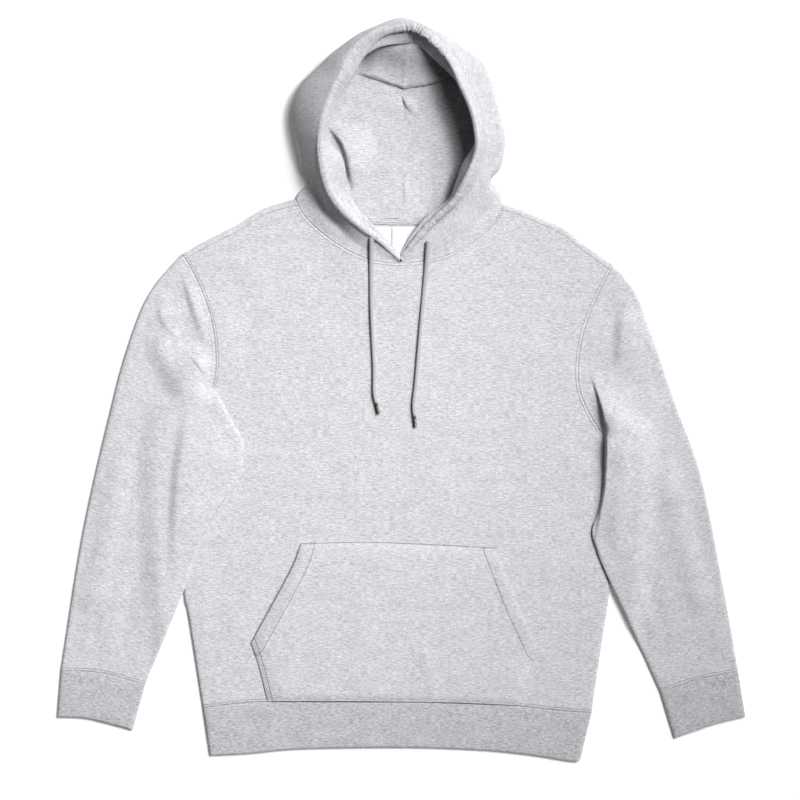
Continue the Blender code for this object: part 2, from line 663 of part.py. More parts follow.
# ---------------------------------------------------------------- hood
def hood_seam(station):
    """Where a section starts: front neck, back neck or centre seam."""
    half = station if station <= HOOD_CROWN else 2 * HOOD_CROWN - station
    left = station <= HOOD_CROWN
    if half <= HOOD_UNDER:
        share = 0.5 - 0.5 * min(max(half, 1), HOOD_FRONT_STATIONS) / HOOD_FRONT_STATIONS
        share = share if left else 1.0 - share
        point = inward(neck_front, share, NECK_SEAM_GAP, 1)
        point.y += NECK_POINT_CLEAR * smooth(half - HOOD_FRONT_STATIONS + 1)
        point.z = front_height(neck_front.at(share))
        if half == HOOD_UNDER:
            point += Vector((0, FLEECE * 0.3, FLEECE / 2 - point.z))
        return point
    half -= HOOD_FRONT_STATIONS
    if half <= HOOD_BACK_STATIONS:
        share = half / HOOD_BACK_STATIONS
        share = NECK_CENTRE * share if left else 1.0 - (1.0 - NECK_CENTRE) * share
        point = neck_back.at(share)
        return Vector((point.x, point.y + SEAM_GAP, FLEECE / 2))
    half -= HOOD_BACK_STATIONS
    share = half / (HOOD_CROWN - HOOD_FRONT_STATIONS - HOOD_BACK_STATIONS)
    row = CENTRE_FOOT_ROW + (TUCK_ROW - CENTRE_FOOT_ROW) * share
    return place(CENTRE_COLUMN, row) + Vector((0, SEAM_GAP * (1 - share), FLEECE / 2))


def hood_row(station):
    """The hood table read smoothly at any station."""
    spacing = HOOD[1].station - HOOD[0].station
    index = min(int(station / spacing), len(HOOD) - 2)
    share = station / spacing - index
    last = len(HOOD) - 1
    picks = [HOOD[min(max(index + step, 0), last)] for step in (-1, 0, 1, 2)]
    values = [catmull(*(Vector((pick[column], 0, 0)) for pick in picks), share).x
              for column in range(len(HOOD[0]))]
    return type(HOOD[0])(*values)


tuck_line = Line(points_of(TUCK))


def tuck_rise(point):
    """The hood's back rises into a fold that lies across it."""
    near = min(tuck_line.points, key=lambda other: (other - point).to_2d().length)
    ahead = point.y - near.y
    ends = smooth((point.x - tuck_line.points[0].x) / 0.02)
    ends *= smooth((tuck_line.points[-1].x - point.x) / 0.02)
    rise = smooth(ahead / TUCK_RUN) * (1 - smooth((ahead - TUCK_RUN) / TUCK_LENGTH))
    return TUCK_HEIGHT * rise * ends


def hood_section(station):
    """The control points of one section of the hood."""
    row = hood_row(station)
    seam = hood_seam(station)
    side = place(row.side_column, row.side_row, row.side_height)
    stitch = place(row.stitch_column, row.stitch_row, row.stitch_height)
    fold = place(row.fold_column, row.fold_row, row.fold_height)
    flat = Vector((side.x, side.y, 0)).lerp(Vector((seam.x, seam.y, 0)), row.foot)
    collar = not HOOD_UNDER <= station <= 2 * HOOD_CROWN - HOOD_UNDER
    foot = Vector((flat.x, flat.y, row.foot_height * 0.001 if collar else FLEECE / 2))
    before, after = hood_row(max(station - 0.5, 0)), hood_row(min(station + 0.5, 48))
    along = (place(after.fold_column, after.fold_row) - place(before.fold_column, before.fold_row))
    into = Vector((along.y, -along.x, 0)).normalized()
    rise = fold - stitch
    lean = Vector((rise.to_2d().dot(into.to_2d()), rise.z)).normalized()
    outward_turn = into * lean.x + Vector((0, 0, lean.y))
    inward_turn = into * lean.y - Vector((0, 0, lean.x))
    radius = min(HOOD_HEM_ROLL, 0.0011 + 0.09 * fold.z)
    centre = fold - outward_turn * radius + inward_turn * radius
    hem = fold + into * (row.reach * 0.001 + 2 * radius) - Vector((0, 0, row.drop * 0.001))
    return [seam, foot, side, stitch, centre - inward_turn * radius,
            centre + outward_turn * radius, centre + inward_turn * radius, hem]


HOOD_SPANS = ((0, 1), (1, 2), (2, 3), (3, 4), (4, 6), (6, 7))


def hood_points(station, cells):
    """One section of the hood, from its seam to the inner edge of its hem."""
    marks = hood_section(station)
    ends = [2 * marks[0] - marks[1]] + marks + [2 * marks[-1] - marks[-2]]
    ends[0] = marks[0] + (marks[0] - marks[1])
    points = [marks[0]]
    for (first, last), count in zip(HOOD_SPANS, cells):
        for step in range(1, count + 1):
            share = step / count * (last - first)
            index = min(first + int(share), last - 1)
            part = share - (index - first)
            if first == 0 and step == 1:
                flat = (marks[1] - marks[0]).to_2d()
                tab = min(SEAM_TAB, flat.length / count)
                point = marks[0] + flat.normalized().to_3d() * tab
            elif first == 0:
                point = marks[0].lerp(marks[1], part)
            else:
                point = catmull(*ends[index:index + 4], part)
            points.append(point)
    for point in points[1:cells[0] + 1]:
        point.z += tuck_rise(point)
    return points


def build_hood(name, stations, side, material, collection):
    """A half of the hood; side is -1 for the left half and 1 for the right."""
    rows = {station: hood_points(station, HOOD_CELLS) for station in stations}
    crown = rows[HOOD_CROWN]
    beside = [point + Vector((side * SEAM_STRIP, 0, 0)) for point in crown]
    beside[0] = crown[0] - Vector((0, SEAM_STRIP, 0))
    rows[HOOD_CROWN + side * 0.5] = beside
    grid = [[point + Vector((side * SEAM_GAP, 0, 0)) for point in rows[station]]
            for station in sorted(rows)]
    return cloth_sheet(name, grid, FLEECE, material, collection)


# ---------------------------------------------------------------- neck tape, labels and cords
def build_tape(material, collection):
    rows = []
    level = FLEECE + SEAM_GAP + TAPE / 2
    for side in (-0.5, 0.5):
        row = []
        for index in range(13):
            share = TAPE_SPAN[0] + (TAPE_SPAN[1] - TAPE_SPAN[0]) * index / 12
            point = neck_back.at(share)
            row.append(Vector((point.x, point.y + side * TAPE_WIDTH, level)))
        rows.append(row)
    return cloth_sheet("neck_tape", rows, TAPE, material, collection)


def build_label(label, material, collection):
    level = FLEECE + label.level * (SEAM_GAP + TAPE) - TAPE / 2
    rows = []
    for up in range(3):
        row_line = label.bottom + (label.top - label.bottom) * up / 2
        rows.append([place(label.left + (label.right - label.left) * index / 4, row_line)
                     + Vector((0, 0, level)) for index in range(5)])
    return cloth_sheet(label.name, rows, TAPE, material, collection)


def cord_route(rows, radius):
    """The line of a cord that lies on the front panel."""
    points = []
    for row in rows:
        point = place(row.column, row.row)
        point.z = front_height(point) + FLEECE / 2 + SEAM_GAP + radius + row.lift * 0.001
        points.append(point)
    return Line(points)


def build_cord(name, rows, material, collection):
    route = cord_route(rows, CORD_DIAMETER / 2)
    count = round(route.lengths[-1] / CORD_POINT_SPACING)
    curve = bpy.data.curves.new(name, "CURVE")
    curve.dimensions = "3D"
    curve.bevel_depth = CORD_DIAMETER / 2
    curve.bevel_resolution = 2
    curve.use_fill_caps = True
    spline = curve.splines.new("POLY")
    spline.points.add(count)
    for index in range(count + 1):
        spline.points[index].co = (*route.at(index / count), 1.0)
    return add_object(name, curve, material, collection)


def build_tip(name, rows, material, collection):
    route = cord_route(rows, CORD_DIAMETER / 2)
    along = (route.at(1.0) - route.at(0.97)).normalized()
    middle = route.at(1.0) + along * (SEAM_GAP + TIP_LENGTH / 2)
    form = bmesh.new()
    bmesh.ops.create_cone(form, cap_ends=True, segments=12, radius1=TIP_DIAMETER / 2,
                          radius2=TIP_DIAMETER / 2, depth=TIP_LENGTH)
    data = bpy.data.meshes.new(name)
    form.to_mesh(data)
    form.free()
    item = add_object(name, data, material, collection)
    item.location = middle
    item.rotation_mode = "QUATERNION"
    item.rotation_quaternion = along.to_track_quat("Z", "Y")
    return item


def main():
    clear_scene()
    parts = bpy.data.collections.new(COLLECTION)
    bpy.context.scene.collection.children.link(parts)
    fleece = make_material("fleece", FLEECE_COLOUR, 0.95)
    rib = make_material("rib", RIB_COLOUR, 0.95)
    label = make_material("label", LABEL_COLOUR, 0.8)
    cord = make_material("cord", CORD_COLOUR, 0.85)
    tip = make_material("tip", TIP_COLOUR, 0.35, 0.9)

    build_back(fleece, parts)
    build_front(fleece, parts)
    build_pocket(fleece, parts)
    build_hem_band(rib, parts)
    build_sleeve("sleeve_left", SLEEVE_LEFT_OUTER, SLEEVE_LEFT_INNER, armhole_left,
                 underarm_left, CUFF_LEFT_SEAM, side_left, fleece, parts)
    build_sleeve("sleeve_right", SLEEVE_RIGHT_OUTER, SLEEVE_RIGHT_INNER, armhole_right,
                 underarm_right, CUFF_RIGHT_SEAM, side_right, fleece, parts)
    build_cuff("cuff_left", CUFF_LEFT_SEAM, CUFF_LEFT_EDGE, rib, parts)
    build_cuff("cuff_right", CUFF_RIGHT_SEAM, CUFF_RIGHT_EDGE, rib, parts)
    stations = [0] + list(range(2, HOOD_FRONT_STATIONS + 1)) + [HOOD_UNDER]
    stations += list(range(HOOD_FRONT_STATIONS + 1, HOOD_CROWN + 1))
    build_hood("hood_left", stations, -1, fleece, parts)
    build_hood("hood_right", [2 * HOOD_CROWN - station for station in stations], 1, fleece,
               parts)
    build_tape(fleece, parts)
    for row in LABEL:
        build_label(row, label, parts)
    build_cord("drawcord_left", CORD_LEFT, cord, parts)
    build_cord("drawcord_right", CORD_RIGHT, cord, parts)
    build_tip("cord_tip_left", CORD_LEFT, tip, parts)
    build_tip("cord_tip_right", CORD_RIGHT, tip, parts)


main()
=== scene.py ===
"""Cloth, stitching, labels, cords, light and camera of a pullover hoodie that lies flat.

Units are metres, +Z is up and the table is at z = 0. The front faces up, the hem is towards -Y
and the hood towards +Y. Left and right are the viewer's. Outlines are drawn on a pattern sheet
of small squares: a column counts squares to the right and a row counts squares down. A place
along a line or across a piece is a share from 0 to 1.
"""
import math
from collections import namedtuple

import bmesh
import bpy
import numpy as np
from mathutils import Matrix, Vector, noise


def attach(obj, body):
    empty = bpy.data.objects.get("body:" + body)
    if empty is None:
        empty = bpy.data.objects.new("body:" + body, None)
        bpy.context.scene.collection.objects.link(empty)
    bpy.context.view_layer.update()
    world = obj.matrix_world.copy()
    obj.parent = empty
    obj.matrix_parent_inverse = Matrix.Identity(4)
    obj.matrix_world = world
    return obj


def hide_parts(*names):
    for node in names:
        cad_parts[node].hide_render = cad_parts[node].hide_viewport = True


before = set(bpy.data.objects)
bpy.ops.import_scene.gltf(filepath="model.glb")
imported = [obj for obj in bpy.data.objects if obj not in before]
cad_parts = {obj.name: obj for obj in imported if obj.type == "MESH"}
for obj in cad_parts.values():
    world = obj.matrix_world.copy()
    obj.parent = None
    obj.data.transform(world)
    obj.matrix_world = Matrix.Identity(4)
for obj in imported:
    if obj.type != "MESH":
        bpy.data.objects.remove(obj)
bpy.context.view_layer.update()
scene = bpy.context.scene

# ---------------- sizes
SQUARE = 0.0013  # side of a square on the pattern sheet
MIDDLE_COLUMN = 401.4  # column of the origin
MIDDLE_ROW = 390.9  # row of the origin
MM = 0.001
UP = np.array([0.0, 0.0, 1.0])

FLEECE = 0.0022  # thickness of each cloth
RIB = 0.0023
TAPE = 0.0010
SEAM_GAP = 0.0003  # between pieces that lie on each other
LAYER_GAP = 0.0004  # between the two layers of a flattened tube
WELD = 0.00002
SEAM_SPLIT = 0.00006  # width of the parting between two sewn pieces
SEAM_DIP = 0.0005
SEAM_REACH = 0.0016
SEAM_RIDGE = 0.0002
RIM = 0.0012  # rounding of a sheet's free edge
NEEDLE = 0.0034  # from a seam to the row of stitches beside it
SHOULDER_STITCH = 0.0078
MOUTH_STITCH = 0.0180
SIDE_STITCH = 0.0062
THREAD_LENGTH = 0.0024
THREAD_PITCH = 0.0032
THREAD_WIDTH = 0.0005

FRONT_LEVEL = 1.5 * FLEECE + SEAM_GAP
STACK = 2 * FLEECE + SEAM_GAP
SEAM_LEVEL = 0.55 * FLEECE
ROLL = 0.0050  # reach of the roll at a folded edge
ROLL_FADE = 0.016
BACK_INSET = 0.0056
NECK_RISE = 0.0017
RISE_FULL, RISE_END = 0.055, 0.120
BODY_EDGE = 0.03  # from a rolled edge to the body's full relief
MOUTH_WIDTH = 0.03
SEWN_FLAT = 0.007  # reach of the flattening beside a hem seam, and of the stronger painted shade along its lines
STEP_START, STEP_END = 0.058, 0.027
SLEEVE_SWELL = 0.0016
SWELL_EDGE, SWELL_END = 0.045, 0.110
SLEEVE_LEAN = -15  # degrees from the body's courses to the sleeves'
SETTLE_LEFT, SETTLE_RIGHT = 0.020, 0.014
TUBE_EDGE, CREST_EDGE = 0.008, 0.0025
JOIN_REACH = 0.026

CORD_DIAMETER = 0.0035
CORD_PLUMP = 1.30  # the braid's loft round the cord's core
CORD_HALF = CORD_PLUMP * CORD_DIAMETER / 2
CORD_CELL = 0.0007
CORD_SIDES = 18
CORD_WIND = 0.009
CORD_FLAT, FLAT_END, FLAT_FADE = 0.34, 0.045, 0.070
TIP_SIDES = 24
TIP_PROFILE = (  # distance along the tip and radius there, in millimetres
    (0, 0), (0, 1.7), (0, 1.95), (0.3, 2.2), (0.9, 2.2), (1.3, 1.95), (4.0, 1.88), (4.8, 1.7),
    (5.6, 1.88), (8.2, 1.88), (9.0, 1.7), (9.8, 1.88), (12.3, 1.95), (12.7, 2.2), (13.2, 2.2),
    (13.5, 2.0), (13.5, 1.5), (12.5, 1.4), (12.5, 0))


def table(names, *rows):
    """A short table with named columns."""
    line = namedtuple("Row", names)
    return [line(*row) for row in rows]


# ---------------- places, sections and creases
ARMPIT, ARMHOLE = 0.60, 0.69  # where the underarm starts and ends on the body's side
NECK_POINTS = (0.265, 0.741)
POCKET_CORNER = 0.37
TAPE_SPAN = (0.24, 0.78)
TAPE_WIDTH = 0.0080
LABEL = table(
    "name left right top bottom level",
    ("neck_label", 364, 438, 227, 259, 1),
    ("neck_tag", 392, 405.5, 227.5, 257, 2))

# Lines across the upper sleeve: their distance down both edges in millimetres, and the angle
# at which they leave the inner edge.
SLEEVE_FAN = table(
    "outer inner angle",
    (22, 0.9, 150),
    (48, 2.4, 128),
    (78, 5, 110),
    (110, 11, 98),
    (145, 22, 90))
SLEEVE_ROWS = 12
SPAN_STEPS = (0.03, 0.07, 0.12, 0.19, 0.28, 0.38, 0.50, 0.62, 0.75, 0.88, 1.0)

# Sections of the hood, one for every second station from the front neck's middle, round the
# crown and back: where its side, its stitched line and its fold lie, and the hem's reach.
HOOD = table(
    "side_column side_row side_height stitch_column stitch_row stitch_height "
    "fold_column fold_row fold_height foot foot_height reach drop",
    (399.2, 262.0, 5.8, 399.4, 260.9, 7.4, 399.7, 259.3, 8.6, 0.35, 5.3, 0.4, 3.0),
    (376, 252, 7, 378, 244, 11, 382, 241.5, 15, 0.50, 6, 2, 5),
    (353, 239, 8.5, 357, 230, 18, 362, 226, 23, 0.50, 6.3, 5, 9),
    (334, 220, 10, 340, 213.5, 26, 345, 211, 31, 0.50, 7, 10, 13),
    (319, 200, 11, 326, 193, 34, 331, 191, 39, 0.45, 7, 17, 13),
    (306, 168, 18, 318.5, 166, 42, 324, 165, 47, 0.40, 6, 20, 16),
    (299, 144, 19, 317, 146, 46, 322, 145, 50, 0.20, 1.1, 8, 24),
    (293.5, 115, 19, 320, 120, 52, 329.5, 124, 46, 0.14, 1.1, -6, 10),
    (299, 92, 19, 329, 93, 54, 341, 97, 45, 0.12, 1.1, -8, 10),
    (313, 74, 20, 338, 75, 53, 351, 82, 44, 0.12, 1.1, -8, 10),
    (336, 52.5, 23, 351, 51, 51, 364, 60, 44, 0.12, 1.1, -7, 10),
    (368, 32.5, 22, 375, 32, 48, 381, 41, 45, 0.12, 1.1, 4, 12),
    (401, 20, 21, 406.5, 26.5, 43, 408.5, 32, 46, 0.14, 1.1, 11, 19),
    (434, 33, 21, 430, 33, 42, 424, 38, 48, 0.13, 1.1, 8, 22),
    (459, 47.5, 20, 453, 57, 40, 447, 60, 52, 0.13, 1.1, 7, 20),
    (483, 67, 22, 469, 86, 37, 462, 88, 56, 0.13, 1.1, -5, 20),
    (496, 104, 22, 479.5, 111, 34, 472.5, 113, 58, 0.14, 1.1, -8, 20),
    (503, 133, 22, 483, 134, 33, 477.5, 134, 58, 0.16, 1.1, -7, 20),
    (503, 153, 21, 483, 150, 32, 477.7, 150, 55, 0.25, 1.1, 1, 22),
    (495, 180, 15, 478, 168, 30, 472, 168, 49, 0.40, 6, 7, 22),
    (487, 199, 14, 469, 188, 25, 463, 187, 41, 0.45, 7, 5, 18),
    (470, 218, 12, 457, 206, 20, 452, 204, 32, 0.50, 8, 1, 15),
    (448, 236, 10, 437, 224, 15, 432, 222, 23, 0.50, 7, 4, 9),
    (424, 250, 8, 418, 243, 11, 414, 241, 15, 0.50, 6.2, 2, 5),
    (401.4, 262.0, 5.8, 401.2, 260.9, 7.4, 400.9, 259.3, 8.6, 0.35, 5.3, 0.4, 3.0))
HOOD_CROWN = 24
HOOD_UNDER = 10.5
HOOD_FRONT_STATIONS = 10
HOOD_BACK_STATIONS = 6
HOOD_ROWS = 240
HOOD_SPANS = ((0, 1), (1, 2), (2, 3), (3, 4), (4, 6), (6, 7))
HOOD_CELLS = (54, 10, 10, 6, 8, 8)
FOOT = HOOD_CELLS[0]  # columns of the hood's grid at its foot and stitched line
STITCH = sum(HOOD_CELLS[:3])
HOOD_HEM_ROLL = 0.0030
PUCKER_STATION = 26.5
PUCKER_LENGTH = 0.0085
NECK_POINT_CLEAR = 0.0020
CENTRE_COLUMN = 403.5
CENTRE_FOOT_ROW = 222
NECK_CENTRE = 0.525
TUCK_ROW = 98
TUCK_HEIGHT, TUCK_RUN, TUCK_LENGTH = 0.0046, 0.0014, 0.030
BACK_RISE, BACK_RUN, BACK_END = 0.024, 0.056, 0.012  # the climb from the tuck to the crown
DENTS = table(
    "column row shift spread",
    (501, 181, -9, 8),
    (298, 182, 9, 10))
DENT_REACH = 0.020

CORD_LEFT = table(
    "column row lift",
    (371.4, 238, 8.0),
    (371.5, 247, 4.6),
    (371.5, 257, 2.4),
    (371.4, 270, 0.7),
    (371.4, 285, 0.2),
    (371.4, 305, 0.2),
    (372.5, 335, 0.2),
    (374.1, 367.5, 0.2),
    (374.2, 392, 0.5),
    (376.3, 403, 0.8))
CORD_RIGHT = table(
    "column row lift",
    (428.2, 241, 7.0),
    (427.6, 252, 3.8),
    (426.9, 262, 1.6),
    (426.1, 272, 0.6),
    (424.2, 291, 0.2),
    (421.4, 319, 0.2),
    (418.2, 355, 0.2),
    (415.9, 382, 0.2),
    (413.6, 404, 0.5),
    (414.4, 416, 0.8))

# Creases: a soft trough (height below 0) or ridge along a line through three points; width in
# squares, height in millimetres.
CURVE = "column row by_column by_row to_column to_row "
BODY_CREASES = table(
    CURVE + "width height",
    (587, 433, 590, 442, 595, 451, 5, -1.4),
    (230, 262, 226, 300, 232, 345, 16, -0.8),
    (250, 250, 262, 320, 258, 400, 30, 0.8),
    (566, 262, 556, 310, 552, 350, 16, -0.8),
    (592, 456, 594, 480, 590, 520, 9, -1.0),
    (300, 430, 330, 470, 322, 520, 26, -0.6),
    (470, 430, 455, 480, 466, 530, 28, -0.6),
    (430, 610, 424, 650, 432, 695, 9, 1.1),
    (446, 612, 441, 652, 447, 695, 9, -0.9),
    (300, 600, 296, 640, 302, 690, 10, -0.7),
    (560, 560, 568, 620, 560, 690, 16, -0.9),
    (222, 560, 216, 620, 226, 690, 16, -0.9))
# The seam allowance lifts body and sleeve alike along the left armhole.
ARMHOLE_BULK = table(
    CURVE + "width height",
    (214, 288, 217, 340, 213, 383, 50, 3.4))
SLEEVE_CREASES = table(
    CURVE + "width height",
    (196, 384, 214, 414, 224, 454, 26, 0.4),
    (150, 430, 146, 500, 140, 560, 24, 0.9),
    (100, 600, 96, 630, 104, 662, 14, -0.8),
    (634, 310, 640, 350, 650, 392, 22, 0.7),
    (634, 420, 636, 470, 634, 520, 26, 1.0),
    (640, 560, 654, 600, 668, 650, 14, -1.0),
    (690, 480, 700, 530, 712, 590, 18, -0.9),
    (140, 560, 128, 610, 116, 655, 16, -1.0))
FOLDS = table(
    "column row to_column to_row width height",
    (120, 470, 92, 600, 38, 1.6),
    (622, 450, 616, 540, 26, 1.2),
    (664, 470, 700, 600, 38, 1.6))

# Laps: cloth that rises sharply on the left hand of a line and falls away softly behind it;
# height, run and length in millimetres.
SLEEVE_LAPS = table(
    CURVE + "height run length fade_in fade_out",
    (588, 368, 604.5, 430, 601, 500, 8.5, 1.6, 100, 0.38, 0.62),
    (597, 396, 604, 470, 589, 566, 6.0, 1.6, 110, 0.35, 0.5),
    (617, 290, 612, 330, 610, 372, 4.2, 14, 44, 0.5, 0.35),
    (176, 262, 187, 304, 205, 352, 3.4, 8, 40, 0.4, 0.45),
    (160, 286, 156, 318, 180, 350, 2.2, 9, 44, 0.5, 0.45),
    (144, 306, 147, 362, 184, 424, 5.0, 28, 60, 0.5, 0.30),
    (190, 358, 198, 367, 207, 380, 1.9, 2.0, 24, 0.45, 0.45),
    (184, 388, 169, 482, 165, 596, 4.4, 14, 90, 0.34, 0.45))
HOOD_LAPS = table(
    CURVE + "height run length fade_in fade_out",
    (324, 126, 342, 152, 351, 200, 9.0, 5.6, 44, 0.3, 0.5),
    (401, 95, 406, 107, 418, 119, 3.0, 1.8, 24, 0.3, 0.6),
    (374, 178, 376, 196, 374, 212, 1.2, 8, 16, 0.5, 0.5),
    (404, 170, 402.5, 190, 404, 214, 1.2, 3, 12, 0.5, 0.5))


# ---------------- lines and patches
def place(column, row, height=0.0):
    """The point of a square on the pattern sheet, height in millimetres."""
    return np.array([(column - MIDDLE_COLUMN) * SQUARE, (MIDDLE_ROW - row) * SQUARE, height * MM])


def points_of(rows):
    return np.array([place(row[0], row[1]) for row in rows])


def with_ends(points):
    """Points with one more before and after, straight on."""
    return np.concatenate([2 * points[:1] - points[1:2], points, 2 * points[-1:] - points[-2:-1]])


def catmull(before, start, end, after, share):
    """A point on a smooth curve from start to end."""
    square, cube = share * share, share * share * share
    return 0.5 * (2 * start + (end - before) * share
                  + (2 * before - 5 * start + 4 * end - after) * square
                  + (3 * start - before - 3 * end + after) * cube)


def smooth(share):
    """0 up to a share of 0, and softly on to 1 at a share of 1."""
    share = np.clip(share, 0.0, 1.0)
    return share * share * (3 - 2 * share)


def fading(share):
    return 1 - smooth(share)


def bell(distance, width):
    return np.exp(-(distance / width) ** 2)


def round_over(distance, radius):
    """0 at an edge to 1 at radius from it, along a quarter circle."""
    left = 1 - np.clip(distance / radius, 0.0, 1.0)
    return np.sqrt(1 - left * left)


def length_of(vectors):
    return np.linalg.norm(vectors, axis=-1)


def unit(vectors):
    return vectors / np.maximum(length_of(vectors), 1e-12)[..., None]


def running(steps):
    """Running totals that start at 0."""
    return np.concatenate([[0.0], np.cumsum(steps)])


def travelled(points):
    """Length of a line up to each of its points."""
    return running(length_of(np.diff(points, axis=0)))


def along_rows(rows):
    """Distance of each point from the start of its row."""
    steps = length_of(np.diff(rows, axis=1))
    return np.concatenate([np.zeros((len(rows), 1)), np.cumsum(steps, axis=1)], axis=1)


def nearest(points, line):
    """Flat distance from points to a line, and the share of its length that is nearest."""
    flat = points.reshape(-1, 3)[:, :2]
    start, along = line[:-1, :2], np.diff(line[:, :2], axis=0)
    squares = np.maximum((along ** 2).sum(axis=1), 1e-18)
    parts = np.sqrt(squares)
    before = running(parts)
    best = np.full(len(flat), np.inf)
    share = np.zeros(len(flat))
    for index in range(len(start)):
        offset = flat - start[index]
        part = np.clip(offset @ along[index] / squares[index], 0.0, 1.0)
        away = length_of(offset - part[:, None] * along[index])
        closer = away < best
        best = np.where(closer, away, best)
        share = np.where(closer, before[index] + part * parts[index], share)
    shape = points.shape[:-1]
    return best.reshape(shape), (share / before[-1]).reshape(shape)


class Line:
    """A smooth line through its marks, read at shares of its length."""

    def __init__(self, points, steps=12):
        self.marks = points = np.asarray(points, float)
        ends = with_ends(points)
        share = np.linspace(0, 1, steps + 1)[1:, None]
        spans = [catmull(*ends[index:index + 4], share) for index in range(len(points) - 1)]
        self.points = np.vstack([points[:1]] + spans)
        self.lengths = travelled(self.points)
        self.length = self.lengths[-1]

    def at(self, share):
        wanted = np.clip(share, 0.0, 1.0) * self.length
        return np.stack([np.interp(wanted, self.lengths, self.points[:, axis])
                         for axis in range(3)], axis=-1)

    def heading(self, share, step=0.01):
        after, before = np.minimum(share + step, 1.0), np.maximum(share - step, 0.0)
        return unit(self.at(after) - self.at(before))

    def beside(self, share, distance):
        """Points moved to the left hand of the line."""
        along = self.heading(share)
        aside = np.stack([-along[..., 1], along[..., 0], 0 * along[..., 0]], axis=-1)
        return self.at(share) + aside * distance

    def away(self, points):
        return nearest(points, self.points)[0]

    def ahead(self, points):
        """Distance to the left hand of the line, negative to its right, and nearest share."""
        away, share = nearest(points, self.points)
        along, offset = self.heading(share, 0.02), points - self.at(share)
        left = along[..., 0] * offset[..., 1] > along[..., 1] * offset[..., 0]
        return np.where(left, away, -away), share


class Chain:
    """Several lines end to end, each over its own part of 0 to 1."""

    def __init__(self, lines, breaks):
        self.lines = lines
        self.breaks = [0.0, *breaks, 1.0]

    def at(self, share):
        share = np.asarray(share, float)
        found = self.lines[0].at(share / self.breaks[1])
        for index, line in enumerate(self.lines[1:], 1):
            start, end = self.breaks[index], self.breaks[index + 1]
            found = np.where((share > start)[..., None], line.at((share - start) / (end - start)),
                             found)
        return found


def outline(*squares):
    """The line through squares of the pattern sheet."""
    return Line(points_of(squares))


def patch(bottom, top, left, right, across, up):
    """The sheet spanned between four edges, a row of points for each step up."""
    across, up = np.asarray(across)[None, :], np.asarray(up)[:, None]
    low, high = bottom.at(across[0])[None], top.at(across[0])[None]
    first, last = left.at(up[:, 0])[:, None], right.at(up[:, 0])[:, None]
    across, up = across[..., None], up[..., None]
    corners = ((low[:, :1] * (1 - across) + low[:, -1:] * across) * (1 - up)
               + (high[:, :1] * (1 - across) + high[:, -1:] * across) * up)
    return low * (1 - up) + high * up + first * (1 - across) + last * across - corners


def shares(near, marks, cells):
    """Shares from 0 to 1: close at both ends, and even from each mark to the next."""
    marks = [near[-1], *marks, 1 - near[-1]]
    spans = [first + (last - first) * np.arange(1, count + 1) / count
             for first, last, count in zip(marks, marks[1:], cells)]
    return np.concatenate([[0.0], near, *spans, 1 - near[-2::-1], [1.0]])


def inside(points, region):
    """Whether points lie inside a closed outline."""
    x, y = points[..., 0], points[..., 1]
    found = np.zeros(x.shape, bool)
    for first, second in zip(region, np.roll(region, -1, axis=0)):
        crosses = (first[1] > y) != (second[1] > y)
        rise = second[1] - first[1]
        reach = first[0] + (y - first[1]) * (second[0] - first[0]) / (rise if rise else 1e-12)
        found ^= crosses & (x < reach)
    return found


def ripple(points, size, seed):
    """Soft unevenness between about -0.5 and 0.5."""
    flat = points.reshape(-1, 3) / size
    return np.array([noise.noise((x, y, z + seed)) for x, y, z in flat]).reshape(points.shape[:-1])


def curve(row):
    """The line through the three points of a crease or lap."""
    return Line([place(*row[index:index + 2]) for index in (0, 2, 4)])


def creased(points, creases):
    """Rise of the cloth along its creases."""
    rise = 0.0
    for row in creases:
        away, share = nearest(points, curve(row).points)
        profile = bell(away, row.width * SQUARE * 0.5)
        rise += row.height * MM * profile * np.sin(np.pi * share) ** 0.7
    return rise


def lap(points, line, height, run, length, fades):
    """Rise of cloth folded up on the left hand of a line, tapering towards its ends."""
    ahead, share = line.ahead(points)
    ends = smooth(share / fades[0]) * smooth((1 - share) / fades[1])
    reach = length * (0.12 + 0.88 * ends)
    return height * ends * smooth(ahead / run) * fading((ahead - run) / reach)


def lapped(points, laps):
    """Rise of the cloth at its laps."""
    return sum(lap(points, curve(row), row.height * MM, row.run * MM, row.length * MM,
                   (row.fade_in, row.fade_out)) for row in laps)


def seam_relief(away):
    """The groove along a seam and the ridge of its allowance."""
    return (SEAM_RIDGE * bell(away - NEEDLE * 0.55, 0.0011)
            - SEAM_DIP * fading(away / SEAM_REACH))


# ---------------- outlines of the pieces
side_left = outline((203, 707.5), (188.8, 617), (183.7, 590), (180, 500), (180, 455), (182, 428))
underarm_left = outline((182, 428), (200, 410), (213.4, 385))
armhole_left = outline((213.4, 385), (216, 367), (215, 342), (210, 314), (200, 286), (188, 263),
    (181.6, 254.5))
shoulder_left = outline((181.6, 254.5), (208, 239.6), (236, 225.5), (263, 209), (289.4, 200.6),
    (296, 199.5))
neck_front = outline((296, 199.5), (301.6, 212), (311.5, 223.7), (325, 235.4), (339, 245.3),
    (355.5, 254.4), (375, 261), (400, 263.5), (423, 261.5), (448, 255), (466.5, 243.6), (483, 231),
    (497, 217), (501.5, 204.5))
shoulder_right = outline((501.5, 204.5), (519, 209), (562, 227.5), (585, 245), (613, 265))
underarm_right = outline((617, 448), (609, 440), (599, 430))
armhole_right = outline((599, 430), (590, 415), (580, 392), (578, 367), (581.6, 339), (590, 312.6),
    (601, 288), (613, 265))
side_right = outline((591.6, 712.6), (601.5, 645), (609, 595), (615, 520), (617.5, 480),
    (617, 448))
hem_seam = outline((203, 707.5), (239, 703), (269, 701.6), (366, 701.6), (455, 703), (519, 706),
    (557, 710), (591.6, 712.6))
hem_edge = outline((210, 755), (249, 753), (302, 748.3), (404, 747), (480.6, 749.6),
    (531.6, 754.7), (571, 761), (580, 760.5))
